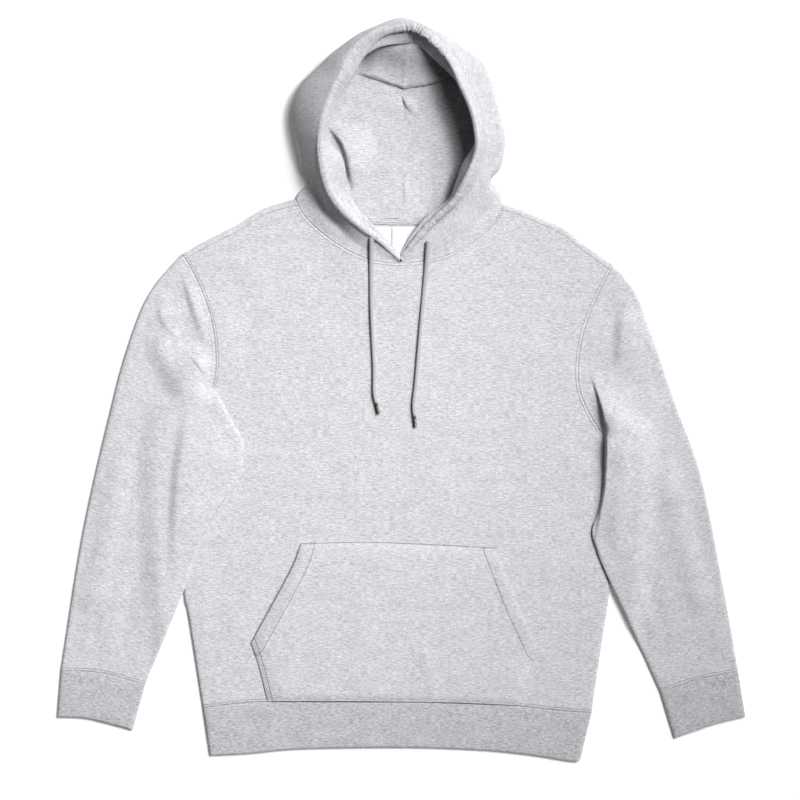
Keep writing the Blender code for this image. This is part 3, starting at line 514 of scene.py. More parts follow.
neck_back = outline((298, 201.5), (312, 209), (330, 214.5), (350, 218.5), (375, 221), (403.5, 222),
    (432, 221), (457, 218.5), (475, 214.5), (489, 210), (500, 206))
outer_left = outline((181.6, 254.5), (158, 281), (143, 306), (128, 347), (115, 393), (84, 528),
    (61, 670.6))
inner_left = outline((213.4, 385), (224, 405), (240, 436), (245, 461), (222, 505), (207, 528),
    (187, 583), (166, 635), (145.4, 684))
outer_right = outline((613, 265), (633, 288), (646, 319), (661, 362), (674, 400), (701, 476),
    (724, 591), (738, 671))
inner_right = outline((599, 430), (604, 440), (602.5, 487), (598, 512), (591, 535), (596, 550),
    (609, 581), (630, 625), (660, 692))
cuff_seam_left = outline((61, 670.6), (84, 671), (107, 673.5), (130, 680), (145.4, 684))
cuff_edge_left = outline((57.4, 716.5), (84, 717.5), (105, 722), (133, 729.5))
cuff_seam_right = outline((738, 671), (701, 678), (676.5, 686), (660, 692))
cuff_edge_right = outline((745.4, 716.5), (715, 724), (696, 730.6), (674, 738))
pocket_top = outline((300.8, 543), (366, 541.7), (430, 544), (497, 547.5))
pocket_bottom = outline((267.6, 700.6), (366, 700.8), (455, 702.2), (519, 705))
pocket_edge_left = outline((267.6, 700.6), (258.7, 665), (251, 642.4), (276.5, 596.5), (294, 563),
    (300.8, 543))
pocket_edge_right = outline((519, 705), (531.6, 668), (539, 647.5), (519, 604), (504, 566),
    (497, 547.5))
tuck_line = outline((353, 72.5), (378, 80), (397, 86.5), (403.5, 88.8), (412, 87.5), (431, 84),
    (461, 74))

body_left = Chain((side_left, underarm_left, armhole_left), (ARMPIT, ARMHOLE))
body_right = Chain((side_right, underarm_right, armhole_right), (ARMPIT, ARMHOLE))
body_top = Chain((shoulder_left, neck_front, shoulder_right), NECK_POINTS)
LABEL_CENTRE = place(401, 248)


def without_end(points):
    """A line's points but for the stretch at its end where the roll fades."""
    line = Line(points, steps=1)
    return line.at(np.linspace(0, 1 - ROLL_FADE / line.length, 60))


ROLLED_EDGES = [without_end(points) for points in (
    side_left.points, side_right.points, shoulder_left.points, shoulder_right.points[::-1])]


def rolled_edge(points):
    """Distance to the nearest rolled edge of the body."""
    return np.minimum.reduce([nearest(points, line)[0] for line in ROLLED_EDGES])


def front_height(points):
    """Height of the middle of the front panel."""
    away = length_of((points - LABEL_CENTRE)[..., :2])
    full = FRONT_LEVEL + NECK_RISE * fading((away - RISE_FULL) / (RISE_END - RISE_FULL))
    return SEAM_LEVEL + (full - SEAM_LEVEL) * round_over(rolled_edge(points), ROLL)


def body_relief(points):
    """Creases and soft unevenness of the front, none of it at the rolled edges."""
    inner = smooth(rolled_edge(points) / BODY_EDGE)
    relief = creased(points, BODY_CREASES) + 0.0011 * ripple(points, 0.085, 3.1)
    relief += 0.0005 * ripple(points, 0.030, 7.7)
    return (np.maximum(relief, -0.00025) * inner + 0.0004 * inner
            + creased(points, ARMHOLE_BULK))


# ---------------- making pieces
def make_object(name, data):
    made = bpy.data.objects.new(name, data)
    scene.collection.objects.link(made)
    return made


def mesh_of(name, form):
    data = bpy.data.meshes.new(name)
    form.to_mesh(data)
    form.free()
    return data


def add_piece(name, data, finish, node=None):
    data.materials.append(finish)
    piece = make_object(name, data)
    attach(piece, "root")
    if node:
        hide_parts(node)
    return piece


def weave_of(points):
    """Where each point of a grid lies on the flat cloth: across and along, in metres."""
    across = along_rows(points)
    across -= across[:, across.shape[1] // 2][:, None]
    along = running(length_of(np.diff(points, axis=0)).mean(axis=1))
    return np.stack([across, np.repeat(along[:, None], points.shape[1], axis=1)], axis=-1)


def grid_piece(name, points, weave, fields, outward, finish, node):
    """A grid bent through rows of points and facing outward, with its weave and fields."""
    facing = np.cross(np.diff(points, axis=1)[:-1], np.diff(points, axis=0)[:, :-1])
    if (facing * np.broadcast_to(outward, points.shape)[:-1, :-1]).sum() < 0:
        points, weave = points[::-1], weave[::-1]
        fields = {key: values[::-1] for key, values in fields.items()}
    up, across = points.shape[0] - 1, points.shape[1] - 1
    form = bmesh.new()
    bmesh.ops.create_grid(form, x_segments=across, y_segments=up, size=0.5)
    data = mesh_of(name, form)
    flat = np.empty(len(data.vertices) * 3, np.float32)
    data.vertices.foreach_get("co", flat)
    flat = flat.reshape(-1, 3)
    column = np.rint((flat[:, 0] + 0.5) * across).astype(int)
    row = np.rint((flat[:, 1] + 0.5) * up).astype(int)
    data.vertices.foreach_set("co", points[row, column].astype(np.float32).ravel())
    corner = np.empty(len(data.loops), np.int32)
    data.loops.foreach_get("vertex_index", corner)
    layer = data.uv_layers.new(name="weave")
    layer.uv.foreach_set("vector", weave[row, column][corner].astype(np.float32).ravel())
    for key, values in fields.items():
        attribute = data.attributes.new(key, "FLOAT", "POINT")
        attribute.data.foreach_set("value", values[row, column].astype(np.float32))
    weld_mesh(data)
    return add_piece(name, data, finish, node)


def weld_mesh(data):
    """Weld what meets and keep the outer edges crisp."""
    form = bmesh.new()
    form.from_mesh(data)
    bmesh.ops.remove_doubles(form, verts=form.verts, dist=WELD)
    bmesh.ops.dissolve_degenerate(form, edges=form.edges, dist=1e-6)
    for face in form.faces:
        face.smooth = True
    for edge in form.edges:
        edge.smooth = not edge.is_boundary
    form.to_mesh(data)
    form.free()


def add_wall(piece, thickness, offset):
    """Give a sheet its thickness, less where its field "wall" says so."""
    group = piece.vertex_groups.new(name="wall")
    values = np.empty(len(piece.data.vertices), np.float32)
    piece.data.attributes["wall"].data.foreach_get("value", values)
    for index, value in enumerate(values):
        group.add([index], float(value), "REPLACE")
    wall = piece.modifiers.new("wall", "SOLIDIFY")
    wall.thickness = thickness
    wall.offset = offset
    wall.vertex_group = group.name
    wall.use_even_offset = False


def rounded_rim(distance):
    """Wall field near a free edge."""
    return 0.30 + 0.70 * round_over(distance, RIM)


def rim(points):
    """Wall field that rounds the free edges of a sheet."""
    edges = points[:, :1], points[:, -1:], points[:1], points[-1:]
    return rounded_rim(np.minimum.reduce([length_of(points - edge) for edge in edges]))


# Distances to seam and stitching, along which the cloth is darkened as painted shade, a slight
# darkening of the pocket's facing strip, and the weight of that painted shade.
FIELDS = {"seam": 1.0, "stitch": 1.0, "needle": 1.0, "facing": 0.0, "press": 0.0}


def fill_fields(fields, shape):
    """Fields of a piece that has no seam, stitching, facing or extra painted shade there."""
    for key, value in FIELDS.items():
        fields.setdefault(key, np.full(shape, value))


def cloth(name, points, thickness, finish, node, offset=0.0, wall=None, weave=None, **fields):
    """A sheet of cloth; its wall lies round the points, or under them at offset -1."""
    fields["wall"] = rim(points) if wall is None else wall
    fill_fields(fields, points.shape[:-1])
    weave = weave_of(points) if weave is None else weave
    piece = grid_piece(name, points, weave, fields, UP, finish, node)
    add_wall(piece, thickness, offset)
    return piece


def fold_steps(cells, width):
    """Shares across a flattened tube, closer together at its two folded edges."""
    near = np.array([0.0002, 0.0007, 0.0015, 0.0026, 0.0040, 0.0060]) / width
    return shares(near, (), (cells,))


def edge_distance(rows):
    """Distance from each point to the nearer end of its row."""
    along = along_rows(rows)
    return np.minimum(along, along[:, -1:] - along)


def flat_tube(name, rows, thickness, low, loft, finish, node, crest=0.0, weave=None, **fields):
    """A tube of cloth pressed flat: rows of points run across it, open at both ends."""
    def round_tube(top, bottom):
        return np.concatenate([top, bottom[:, -2::-1]], axis=1)

    edge = edge_distance(rows)
    half = thickness + LAYER_GAP / 2
    middle = low + half
    bow = half * round_over(edge, ROLL)
    upper, lower = rows.copy(), rows.copy()
    upper[..., 2] = (middle + bow + loft * smooth(edge / TUBE_EDGE)
                     + crest * smooth(edge / CREST_EDGE))
    waves = 0.0005 * (0.5 + ripple(rows, 0.03, 17.0)) * smooth(edge / 0.02)
    lower[..., 2] = np.maximum(middle - bow + waves, 0.0)
    ring = round_tube(upper, lower)
    fields["wall"] = 0.45 + 0.55 * smooth(edge / 0.006)
    fill_fields(fields, edge.shape)
    fields = {key: round_tube(value, value) for key, value in fields.items()}
    upward = np.broadcast_to(UP, rows.shape)
    weave = weave_of(ring) if weave is None else round_tube(weave, weave + 1.0)
    piece = grid_piece(name, ring, weave, fields, round_tube(upward, -upward), finish, node)
    add_wall(piece, thickness, -1.0)
    return piece, upper


def tube(name, centre, along, radii, finish, node):
    """A round tube along a route; radii is one row of radii for each point."""
    turn = np.linspace(0, 2 * np.pi, radii.shape[1])
    aside = unit(np.cross(along, UP))
    upward = np.cross(aside, along)
    ring = (np.cos(turn)[None, :, None] * aside[:, None]
            + np.sin(turn)[None, :, None] * upward[:, None])
    points = centre[:, None] + ring * radii[..., None]
    weave = np.stack(np.broadcast_arrays(turn[None, :] / (2 * np.pi),
                                         travelled(centre)[:, None]), axis=-1)
    return grid_piece(name, points, weave, {}, ring, finish, node)


def height_on(points, rows):
    """Heights at which points lie on a grid of cloth."""
    flat = rows.reshape(-1, 3)
    heights = []
    for point in points:
        away = length_of(flat[:, :2] - point[:2])
        near = np.argpartition(away, 4)[:4]
        weight = 1 / (away[near] + 1e-5)
        heights.append((flat[near, 2] * weight).sum() / weight.sum())
    return np.array(heights)


def sewn(rows, line, distance, start, end):
    """A row of stitches on a piece, at a distance to the left hand of a line."""
    points = line.beside(np.linspace(start, end, max(12, round(line.length / 0.005))), distance)
    points[:, 2] = height_on(points, rows)
    return points, np.broadcast_to(UP, points.shape)


def stitches(name, runs):
    """Rows of thread; each run is a line of points and the cloth's outward directions."""
    form = bmesh.new()
    size = Matrix.Diagonal((THREAD_LENGTH / 2, THREAD_WIDTH / 2, THREAD_WIDTH / 2, 1))
    for points, outward in runs:
        steps = travelled(points)

        def at(distance, values):
            return Vector([np.interp(distance, steps, values[:, axis]) for axis in range(3)])

        for distance in np.arange(THREAD_PITCH / 2, steps[-1] - THREAD_PITCH / 2, THREAD_PITCH):
            along = (at(distance + THREAD_LENGTH / 2, points)
                     - at(distance - THREAD_LENGTH / 2, points)).normalized()
            side = at(distance, outward).cross(along).normalized()
            turn = Matrix((along, side, along.cross(side))).transposed().to_4x4()
            spot = Matrix.Translation(at(distance, points)) @ turn @ size
            bmesh.ops.create_uvsphere(form, u_segments=6, v_segments=4, radius=1.0, matrix=spot)
    data = mesh_of(name, form)
    data.shade_smooth()
    return add_piece(name, data, thread)


# ---------------- finishes
class Wire:
    """A socket of a finish, with arithmetic."""

    def __init__(self, finish, socket):
        self.finish, self.socket = finish, socket

    def maths(self, operation, first, second=0.0):
        return self.finish.node("Math", {"operation": operation}, {0: first, 1: second})

    def __add__(self, other):
        return self.maths("ADD", self, other)

    def __sub__(self, other):
        return self.maths("SUBTRACT", self, other)

    def __rsub__(self, other):
        return self.maths("SUBTRACT", other, self)

    def __mul__(self, other):
        return self.maths("MULTIPLY", self, other)

    __radd__ = __add__
    __rmul__ = __mul__

    def size(self):
        return self.maths("ABSOLUTE", self)

    def wave(self):
        return self.maths("SINE", self)

    def turns(self, pitch):
        """An angle that goes once round for each pitch."""
        return self * (2 * math.pi / pitch)


class Finish:
    """A material under construction."""

    def __init__(self, name, roughness, metallic=0.0):
        self.material = bpy.data.materials.new(name)
        self.material.use_nodes = True
        self.tree = self.material.node_tree
        self.shader = self.tree.nodes["Principled BSDF"]
        self.feed(roughness=roughness, metallic=metallic)

    def node(self, kind, settings=None, sockets=None, output=0):
        node = self.tree.nodes.new("ShaderNode" + kind)
        for key, value in (settings or {}).items():
            setattr(node, key, value)
        for key, value in (sockets or {}).items():
            self.plug(node.inputs[key], value)
        return Wire(self, node.outputs[output])

    def plug(self, target, value):
        if isinstance(value, Wire):
            self.tree.links.new(value.socket, target)
        else:
            target.default_value = value

    def feed(self, **inputs):
        """Set the shader's inputs, or wire them up."""
        for name, value in inputs.items():
            name = name.replace("_", " ").title().replace("Ior", "IOR")
            self.plug(self.shader.inputs[name], value)

    def weave(self):
        """The flat cloth's own map, and the distances across and along it."""
        flat = self.node("UVMap", {"uv_map": "weave"})
        return flat, *(self.node("SeparateXYZ", {}, {0: flat}, output=axis) for axis in (0, 1))

    def between(self, value, low, high):
        """0 at low to 1 at high, smoothly."""
        return self.node("MapRange", {"interpolation_type": "SMOOTHSTEP"},
                         {"Value": value, "From Min": low, "From Max": high})

    def blend(self, factor, first, second):
        return self.node("Mix", {"data_type": "RGBA"}, {0: factor, 6: first, 7: second}, output=2)

    def grain(self, place_on, sizes, detail=2.0, roughness=0.55):
        """Noise whose grains have the given sizes in metres."""
        scaled = self.node("Mapping", {"vector_type": "POINT"},
                           {"Vector": place_on, "Scale": [1 / size for size in sizes]})
        return self.node("TexNoise", {"noise_dimensions": "3D"},
                         {"Vector": scaled, "Scale": 1.0, "Detail": detail,
                          "Roughness": roughness})

    def relief(self, height, distance, before=None):
        sockets = {"Strength": 1.0, "Distance": distance, "Height": height}
        if before is not None:
            sockets["Normal"] = before
        return self.node("Bump", {}, sockets)


def grey(level):
    """A cool grey of a given linear level."""
    return level * 0.952, level * 0.962, level, 1.0


def marl_finish(name, light, dark, contrast, scale=1.0, ribbed=0.0):
    """Heathered knit: short dark and light streaks along the courses of the cloth."""
    finish = Finish(name, 0.92)
    weave, sides, course = finish.weave()
    long_streak = finish.grain(weave, (0.0078 * scale, 0.0017 * scale, 1.0), 4.0, 0.7)
    short_streak = finish.grain(weave, (0.0034 * scale, 0.0011 * scale, 1.0), 3.0, 0.7)
    cloud = finish.grain(weave, (0.032, 0.012, 1.0), 1.0)
    mixed = long_streak * 0.54 + short_streak * 0.38 + cloud * 0.08
    share = finish.between(mixed, 0.5 - contrast, 0.5 + contrast)
    colour = finish.blend(share, grey(dark), grey(light))
    # Painted shade: the colour is darkened towards a dark grey along seams, pocket edges, stitch
    # rows and the hood's tuck. This stands for the shade in their grooves and creases, and partly
    # for needle holes. The pocket's facing strip is darkened a little as well.
    seam, stitch, needle, facing, press = (
        finish.node("Attribute", {"attribute_name": key}, output=2) for key in FIELDS)
    dip = 1 - finish.between(seam, 0.0, 0.0012)
    row, second = (1 - finish.between(away.size(), 0.0, 0.0010) for away in (stitch, needle))
    shade = (dip + row + second) * (press + 0.20) + facing
    if ribbed:
        knit = sides.turns(ribbed).wave() * 0.10 + finish.grain(weave, (0.0006, 0.0006, 1.0)) * 0.6
        depth = 0.00025
    else:
        wale = sides.turns(0.0011).wave() * course.turns(0.0009).wave()
        knit = wale * 0.25 + finish.grain(weave, (0.0007, 0.0006, 1.0))
        depth = 0.00022
    normal = finish.relief(knit, depth)
    normal = finish.relief(finish.grain(weave, (0.0045, 0.0030, 1.0)), 0.0005, normal)
    normal = finish.relief(0 - (row + second), 0.0003, normal)
    finish.feed(base_color=finish.blend(shade, colour, grey(0.12)), normal=normal,
                roughness=0.97 - share * 0.07, specular_ior_level=0.18, sheen_weight=0.06,
                sheen_roughness=0.6)
    return finish.material


def thread_finish():
    finish = Finish("thread", 0.7)
    twist = finish.grain(finish.node("TexCoord", output=3), (0.0008, 0.0008, 0.0008))
    # Painted shade in part: the thread is coloured darker than the cloth so its rows read as dark
    # lines. This is partly the thread's own colour and partly painted shade of the grooves it lies
    # in.
    finish.feed(base_color=finish.blend(twist, grey(0.30), grey(0.44)),
                normal=finish.relief(twist, 0.0001))
    return finish.material


def label_finish():
    finish = Finish("label_satin", 0.55)
    weave, sides, rows = finish.weave()
    threads = sides.turns(0.0006).wave() * rows.turns(0.0006).wave()
    cloud = finish.grain(weave, (0.008, 0.008, 1.0))
    finish.feed(base_color=finish.blend(cloud, grey(0.72), grey(0.80)),
                normal=finish.relief(threads, 0.00006), roughness=0.45 + cloud * 0.25)
    return finish.material


def cord_finish():
    """Braided cord: two sets of strands that wind opposite ways."""
    finish = Finish("cord_braid", 0.85)
    _, round_cord, along = finish.weave()
    turn, along = round_cord * (2 * math.pi * 6), along.turns(0.0026)
    strands = (turn + along).wave() * (turn - along).wave()
    fibre = finish.grain(finish.node("TexCoord", output=3), (0.0012, 0.0012, 0.0012))
    share = finish.between(strands + fibre - 0.5, -0.9, 0.7)
    finish.feed(base_color=finish.blend(share, grey(0.31), grey(0.50)),
                normal=finish.relief(strands, 0.0002))
    return finish.material


def tip_finish():
    """Dark nickel, worn lighter and browner in places."""
    finish = Finish("tip_dark_nickel", 0.32, 1.0)
    here = finish.node("TexCoord", output=3)
    wear = finish.grain(here, (0.0025, 0.0025, 0.0025), 3.0)
    colour = finish.blend(finish.between(wear, 0.35, 0.7), (0.14, 0.115, 0.098, 1.0),
                          (0.27, 0.225, 0.195, 1.0))
    scratches = finish.grain(here, (0.0004, 0.0004, 0.0015))
    finish.feed(base_color=colour, roughness=0.42 + wear * 0.24,
                normal=finish.relief(scratches, 0.00003))
    return finish.material


fleece = marl_finish("fleece_marl", 0.72, 0.36, 0.16)
rib = marl_finish("rib_marl", 0.63, 0.25, 0.15, scale=0.85, ribbed=0.0030)
thread, satin, braid, nickel = thread_finish(), label_finish(), cord_finish(), tip_finish()


# ---------------- camera and cords
CAMERA_HEIGHT = 6.0
SENSOR_WIDTH = 36.0
VIEW_WIDTH = 1.04  # metres across the picture at table level
VIEW_CENTRE = (-0.0018, -0.0118)

camera = make_object("camera", bpy.data.cameras.new("camera"))
camera.data.sensor_width = SENSOR_WIDTH
camera.data.lens = SENSOR_WIDTH * CAMERA_HEIGHT / VIEW_WIDTH
camera.location = (*VIEW_CENTRE, CAMERA_HEIGHT)
camera.data.clip_end = 100.0
scene.camera = camera


def build_cord(side, rows):
    """A braided cord that lies on the front panel, and the metal tip crimped on its end."""
    points = points_of(rows)
    lift = np.array([row.lift for row in rows]) * MM
    points[:, 2] = front_height(points) + FLEECE / 2 + SEAM_GAP + CORD_HALF + lift
    route = Line(points)
    count = round(route.length / CORD_CELL)
    centre = route.at(np.linspace(0, 1, count + 1))
    centre[:, 2] += np.maximum(body_relief(centre), 0.0) * 0.8
    turn = np.linspace(0, 2 * np.pi, CORD_SIDES + 1)
    along = np.linspace(0, route.length, count + 1)
    wind = along[:, None] * 2 * np.pi / CORD_WIND
    strands = np.cos(4 * turn[None] + wind) * np.cos(4 * turn[None] - wind)
    flat = 1.0 + CORD_FLAT * fading((along - FLAT_END) / FLAT_FADE)[:, None]
    centre[:, 2] -= CORD_HALF * (1 - 1 / flat[:, 0])
    radii = (CORD_HALF * (0.94 + 0.05 * strands)
             / np.hypot(np.cos(turn) / flat, np.sin(turn) * flat))
    radii[0], radii[-1] = 0.0, 0.0
    cord = tube(f"cord_{side}", centre, unit(np.gradient(centre, axis=0)), radii, braid,
                f"drawcord_{side}")
    heading = unit(centre[-1] - centre[-12])
    profile = np.array(TIP_PROFILE) * MM
    centres = centre[-1] + heading * SEAM_GAP + heading * profile[:, :1]
    tip = tube(f"tip_{side}", centres, np.broadcast_to(heading, centres.shape),
               np.repeat(profile[:, 1:], TIP_SIDES + 1, axis=1), nickel, f"cord_tip_{side}")
    return cord, tip, route


for side, rows, cord_length in (("left", CORD_LEFT, 0.217), ("right", CORD_RIGHT, 0.230)):
    cord, tip, route = build_cord(side, rows)
    tuple(route.at(0.0))
    [tuple(point) for point in route.at(np.linspace(0, 1, 80))]


# ---------------- body and pocket
BODY_NEAR = np.array([0.0007, 0.0017, 0.0031, 0.0052, 0.0080])  # close rows at the sides
HEM_NEAR = np.array([0.0008, 0.0019, 0.0034, 0.0055])
BACK_NEAR = np.array([0.002])
POCKET_NEAR = np.array([0.0004, 0.0010, 0.0018, 0.0030])
BODY_WIDTH, BODY_LENGTH = 0.55, 0.60
POCKET_WIDTH, POCKET_HEIGHT = 0.30, 0.21


def build_front():
    points = patch(hem_seam, body_top, body_left, body_right,
                   shares(BODY_NEAR / BODY_WIDTH, NECK_POINTS, (36, 76, 36)),
                   shares(HEM_NEAR / BODY_LENGTH, (ARMPIT, ARMHOLE), (92, 12, 46)))
    points[..., 2] = front_height(points) + body_relief(points)
    hem = hem_seam.away(points)
    seam = np.minimum.reduce([line.away(points) for line in (neck_front, hem_seam, armhole_left,
                                                             armhole_right)])
    shoulders = np.minimum(shoulder_left.away(points), shoulder_right.away(points))
    points[..., 2] += FLEECE / 2 + seam_relief(seam)
    points[..., 2] += SEAM_RIDGE * bell(hem - NEEDLE * 0.5, 0.0009)
    # Painted shade: the seam, stitch and shoulder fields darken the cloth along the neck, hem,
    # armhole and shoulder lines, more strongly near the hem.
    piece = cloth("body_front", points, FLEECE, fleece, "front_body", offset=-1.0,
                  wall=1 - 0.3 * fading(seam / SEAM_REACH), weave=points[..., :2], seam=seam,
                  stitch=seam - NEEDLE, needle=shoulders - SHOULDER_STITCH,
                  press=0.05 + 0.30 * bell(hem, SEWN_FLAT))
    return piece, points


def inset(line, distance):
    return Line(line.beside(np.linspace(0, 1, 25), distance), steps=3)


def inset_side(side, underarm, armhole, hand):
    """The back's edge at one side, inside the front's; hand is -1 at the left."""
    return Chain((inset(side, BACK_INSET * hand), inset(underarm, SEAM_GAP * hand),
                  inset(armhole, SEAM_GAP * hand)), (ARMPIT, ARMHOLE))


def build_back():
    top = Chain((inset(shoulder_left, -BACK_INSET), inset(neck_back, -SEAM_GAP),
                 inset(shoulder_right, -BACK_INSET)), NECK_POINTS)
    points = patch(inset(hem_seam, SEAM_GAP), top,
                   inset_side(side_left, underarm_left, armhole_left, -1),
                   inset_side(side_right, underarm_right, armhole_right, 1),
                   shares(BACK_NEAR, NECK_POINTS, (24, 46, 24)),
                   shares(BACK_NEAR, (ARMPIT, ARMHOLE), (50, 8, 28)))
    neck = neck_back.away(points)
    points[..., 2] = FLEECE
    return cloth("body_back", points, FLEECE, fleece, "back_body", offset=-1.0,
                 wall=0.98 - 0.5 * smooth(0.5 + 1.6 * ripple(points, 0.06, 21.0)),
                 weave=points[..., :2], seam=neck, stitch=neck - NEEDLE)


def build_pocket():
    left, right = (Chain((Line(edge.marks[:3]), Line(edge.marks[2:])), (POCKET_CORNER,))
                   for edge in (pocket_edge_left, pocket_edge_right))
    points = patch(pocket_bottom, pocket_top, left, right,
                   shares(POCKET_NEAR / POCKET_WIDTH, (), (84,)),
                   shares(POCKET_NEAR / POCKET_HEIGHT, (POCKET_CORNER,), (20, 34)))
    at_right = points[..., 0] > 0
    side = np.minimum(left.lines[0].away(points), right.lines[0].away(points))
    (at_left_mouth, left_share), (at_right_mouth, right_share) = (
        nearest(points, chain.lines[1].points) for chain in (left, right))
    mouth = np.minimum(at_left_mouth, at_right_mouth)
    gape = np.sin(np.pi * np.where(at_right, right_share, left_share))
    top, bottom = pocket_top.away(points), pocket_bottom.away(points)
    free_edge = np.minimum.reduce([top, side, mouth])
    puff = 0.0012 * smooth(np.minimum(top, side) / 0.02)
    lip = 0.0010 * gape * fading(mouth / MOUTH_WIDTH)
    points[..., 2] = (front_height(points) + body_relief(points) + 1.5 * FLEECE + SEAM_GAP
                      + puff + lip + 0.0004 * ripple(points, 0.04, 1.3))
    sewn_down = np.maximum(fading(bottom / SEWN_FLAT), 0.70 * fading(free_edge / 0.008))
    points[..., 2] -= 0.85 * FLEECE * sewn_down
    points[..., 2] += 0.0005 * bell(mouth - MOUTH_STITCH + 0.0019, 0.0010)
    # Painted shade: the cloth is darkened along the pocket's top edge and, on the left, along all
    # its free edges, standing for the shadow of its step. It is also darkened along its stitch
    # rows, and a little over the facing strip inside the mouth stitching.
    return cloth("pocket_panel", points, FLEECE, fleece, "pocket", offset=-1.0,
                 wall=rim(points) * (1 - 0.75 * sewn_down), weave=points[..., :2] + 0.31,
                 seam=np.where(at_right, top, free_edge) - 0.0007,
                 stitch=mouth - MOUTH_STITCH, needle=np.where(at_right, 1.0, side - SIDE_STITCH),
                 facing=0.06 * fading((mouth - MOUTH_STITCH) / 0.0015 + 1),
                 press=np.full(side.shape, 0.42)), points, left, right


front, front_rows = build_front()
back = build_back()
pocket, pocket_rows, pocket_left, pocket_right = build_pocket()


# ---------------- sleeves, cuffs and hem band
BAND_NEAR = np.array([0.0007, 0.0017, 0.0031, 0.0052])  # close rows at a band's edges
BAND_CELL = 0.004


def step_over(points, side, underarm):
    """How far a sleeve is lifted where it lies over the body's hidden edge."""
    line = np.vstack([side.points, underarm.points[1:]])
    region = np.vstack([line, [0, line[-1, 1], 0], [0, line[0, 1], 0]])
    away = nearest(points, line)[0]
    depth = np.where(inside(points, region), away, -away)
    return (STACK + SEAM_GAP) * smooth((depth + STEP_START) / (STEP_START - STEP_END))


def fold_loft(points):
    """Rise of a sleeve's upper layer along its main folds."""
    rise = 0.0
    for fold in FOLDS:
        line = np.array([place(fold.column, fold.row), place(fold.to_column, fold.to_row)])
        share = nearest(points, line)[0] / (fold.width * SQUARE * 0.5)
        rise = np.maximum(rise, fold.height * MM * fading(share))
    return rise


def turned(direction, degrees):
    cosine, sine = math.cos(math.radians(degrees)), math.sin(math.radians(degrees))
    return np.array([direction[0] * cosine - direction[1] * sine,
                     direction[1] * cosine + direction[0] * sine, 0.0])


def sleeve_line(outer, inner, fan, hand):
    """A line across a sleeve that leaves both folded edges at a set angle."""
    first, last = fan.outer * MM / outer.length, fan.inner * MM / inner.length
    start, end = outer.at(first), inner.at(last)
    reach = length_of(end - start) * 0.3
    near = start + turned(outer.heading(first), 90 * hand) * reach
    far = end + turned(inner.heading(last), -fan.angle * hand) * reach
    share = np.linspace(0, 1, 13)[:, None]
    left = 1 - share
    return Line(start * left ** 3 + near * 3 * left ** 2 * share + far * 3 * left * share ** 2
                + end * share ** 3)


def between_lines(lines, across, cells):
    """Rows of points that pass smoothly from each line to the next, closer at the two ends."""
    marks = np.array([line.at(across) for line in lines])
    ends = with_ends(marks)
    rows = [marks[0]]
    for index in range(len(marks) - 1):
        steps = np.arange(1, cells + 1) / cells
        if index == 0:
            steps = SPAN_STEPS
        elif index == len(marks) - 2:
            steps = [1 - step for step in SPAN_STEPS[-2::-1]] + [1.0]
        rows += [catmull(*ends[index:index + 4], step) for step in steps]
    return np.array(rows)


def build_sleeve(side_name, outer, inner, armhole, underarm, side, cuff, hand, settle):
    """A sleeve from its armhole seam to its cuff seam; hand is 1 at the left, -1 at the right."""
    last = SLEEVE_FAN[-1]
    outer_step, inner_step = ((line.length / MM - start) / SLEEVE_ROWS for line, start in
                              ((outer, last.outer), (inner, last.inner)))
    fans = SLEEVE_FAN + [last._replace(outer=last.outer + outer_step * index,
                                       inner=last.inner + inner_step * index)
                         for index in range(1, SLEEVE_ROWS)]
    seam = Line(armhole.beside(1 - np.arange(21) / 20, SEAM_SPLIT * hand))
    lines = [seam, *(sleeve_line(outer, inner, fan, hand) for fan in fans), cuff]
    rows = between_lines(lines, fold_steps(84, 0.19), 10)
    hole, end = armhole.away(rows), cuff.away(rows)
    away = np.minimum(hole, end)
    swell = SLEEVE_SWELL * smooth(edge_distance(rows) / SWELL_EDGE) * smooth(away / SWELL_END)
    loft = swell + fold_loft(rows) + creased(rows, SLEEVE_CREASES)
    loft += 0.0011 * ripple(rows, 0.050, 5.0) + 0.0003 * ripple(rows, 0.018, 9.0)
    loft = np.maximum(loft, -0.0004) * smooth(away / settle) + seam_relief(away)
    crest = lapped(rows, SLEEVE_LAPS) * smooth(away / settle) + creased(rows, ARMHOLE_BULK)
    lean = math.radians(SLEEVE_LEAN) * hand
    across = rows[..., 0] * math.cos(lean) + rows[..., 1] * math.sin(lean)
    along = rows[..., 1] * math.cos(lean) - rows[..., 0] * math.sin(lean)
    low = step_over(rows, side, underarm) * smooth(hole / JOIN_REACH)
    # Painted shade: the seam and stitch fields darken the cloth along the armhole and cuff seams,
    # more strongly near the cuff.
    return flat_tube(f"sleeve_{side_name}_cloth", rows, FLEECE, low, loft, fleece,
                     f"sleeve_{side_name}", crest, np.stack([across, along], axis=-1), seam=away,
                     stitch=end - NEEDLE, press=0.05 + 0.25 * bell(end, SEWN_FLAT))


def build_band(name, seam, edge, cells, node, seed):
    """A flattened tube of rib from its seam to its free edge."""
    seam = Line(seam.marks - np.array([0, SEAM_SPLIT, 0]))
    across = fold_steps(cells, seam.length)
    first, last = seam.at(across), edge.at(across)
    height = length_of(first - last).mean()
    near = BAND_NEAR / height
    count = max(2, round(height * (1 - 2 * near[-1]) / BAND_CELL))
    rows = first + (last - first) * shares(near, (), (count,))[:, None, None]
    away, outside = seam.away(rows), edge.away(rows)
    loft = 0.0006 * (0.4 + ripple(rows, 0.03, seed)) * smooth(np.minimum(away, outside) / 0.01)
    loft += seam_relief(away) - 0.0008 * (1 - round_over(outside, 0.003))
    return flat_tube(name, rows, RIB, np.zeros(away.shape), loft, rib, node, seam=away)[0]


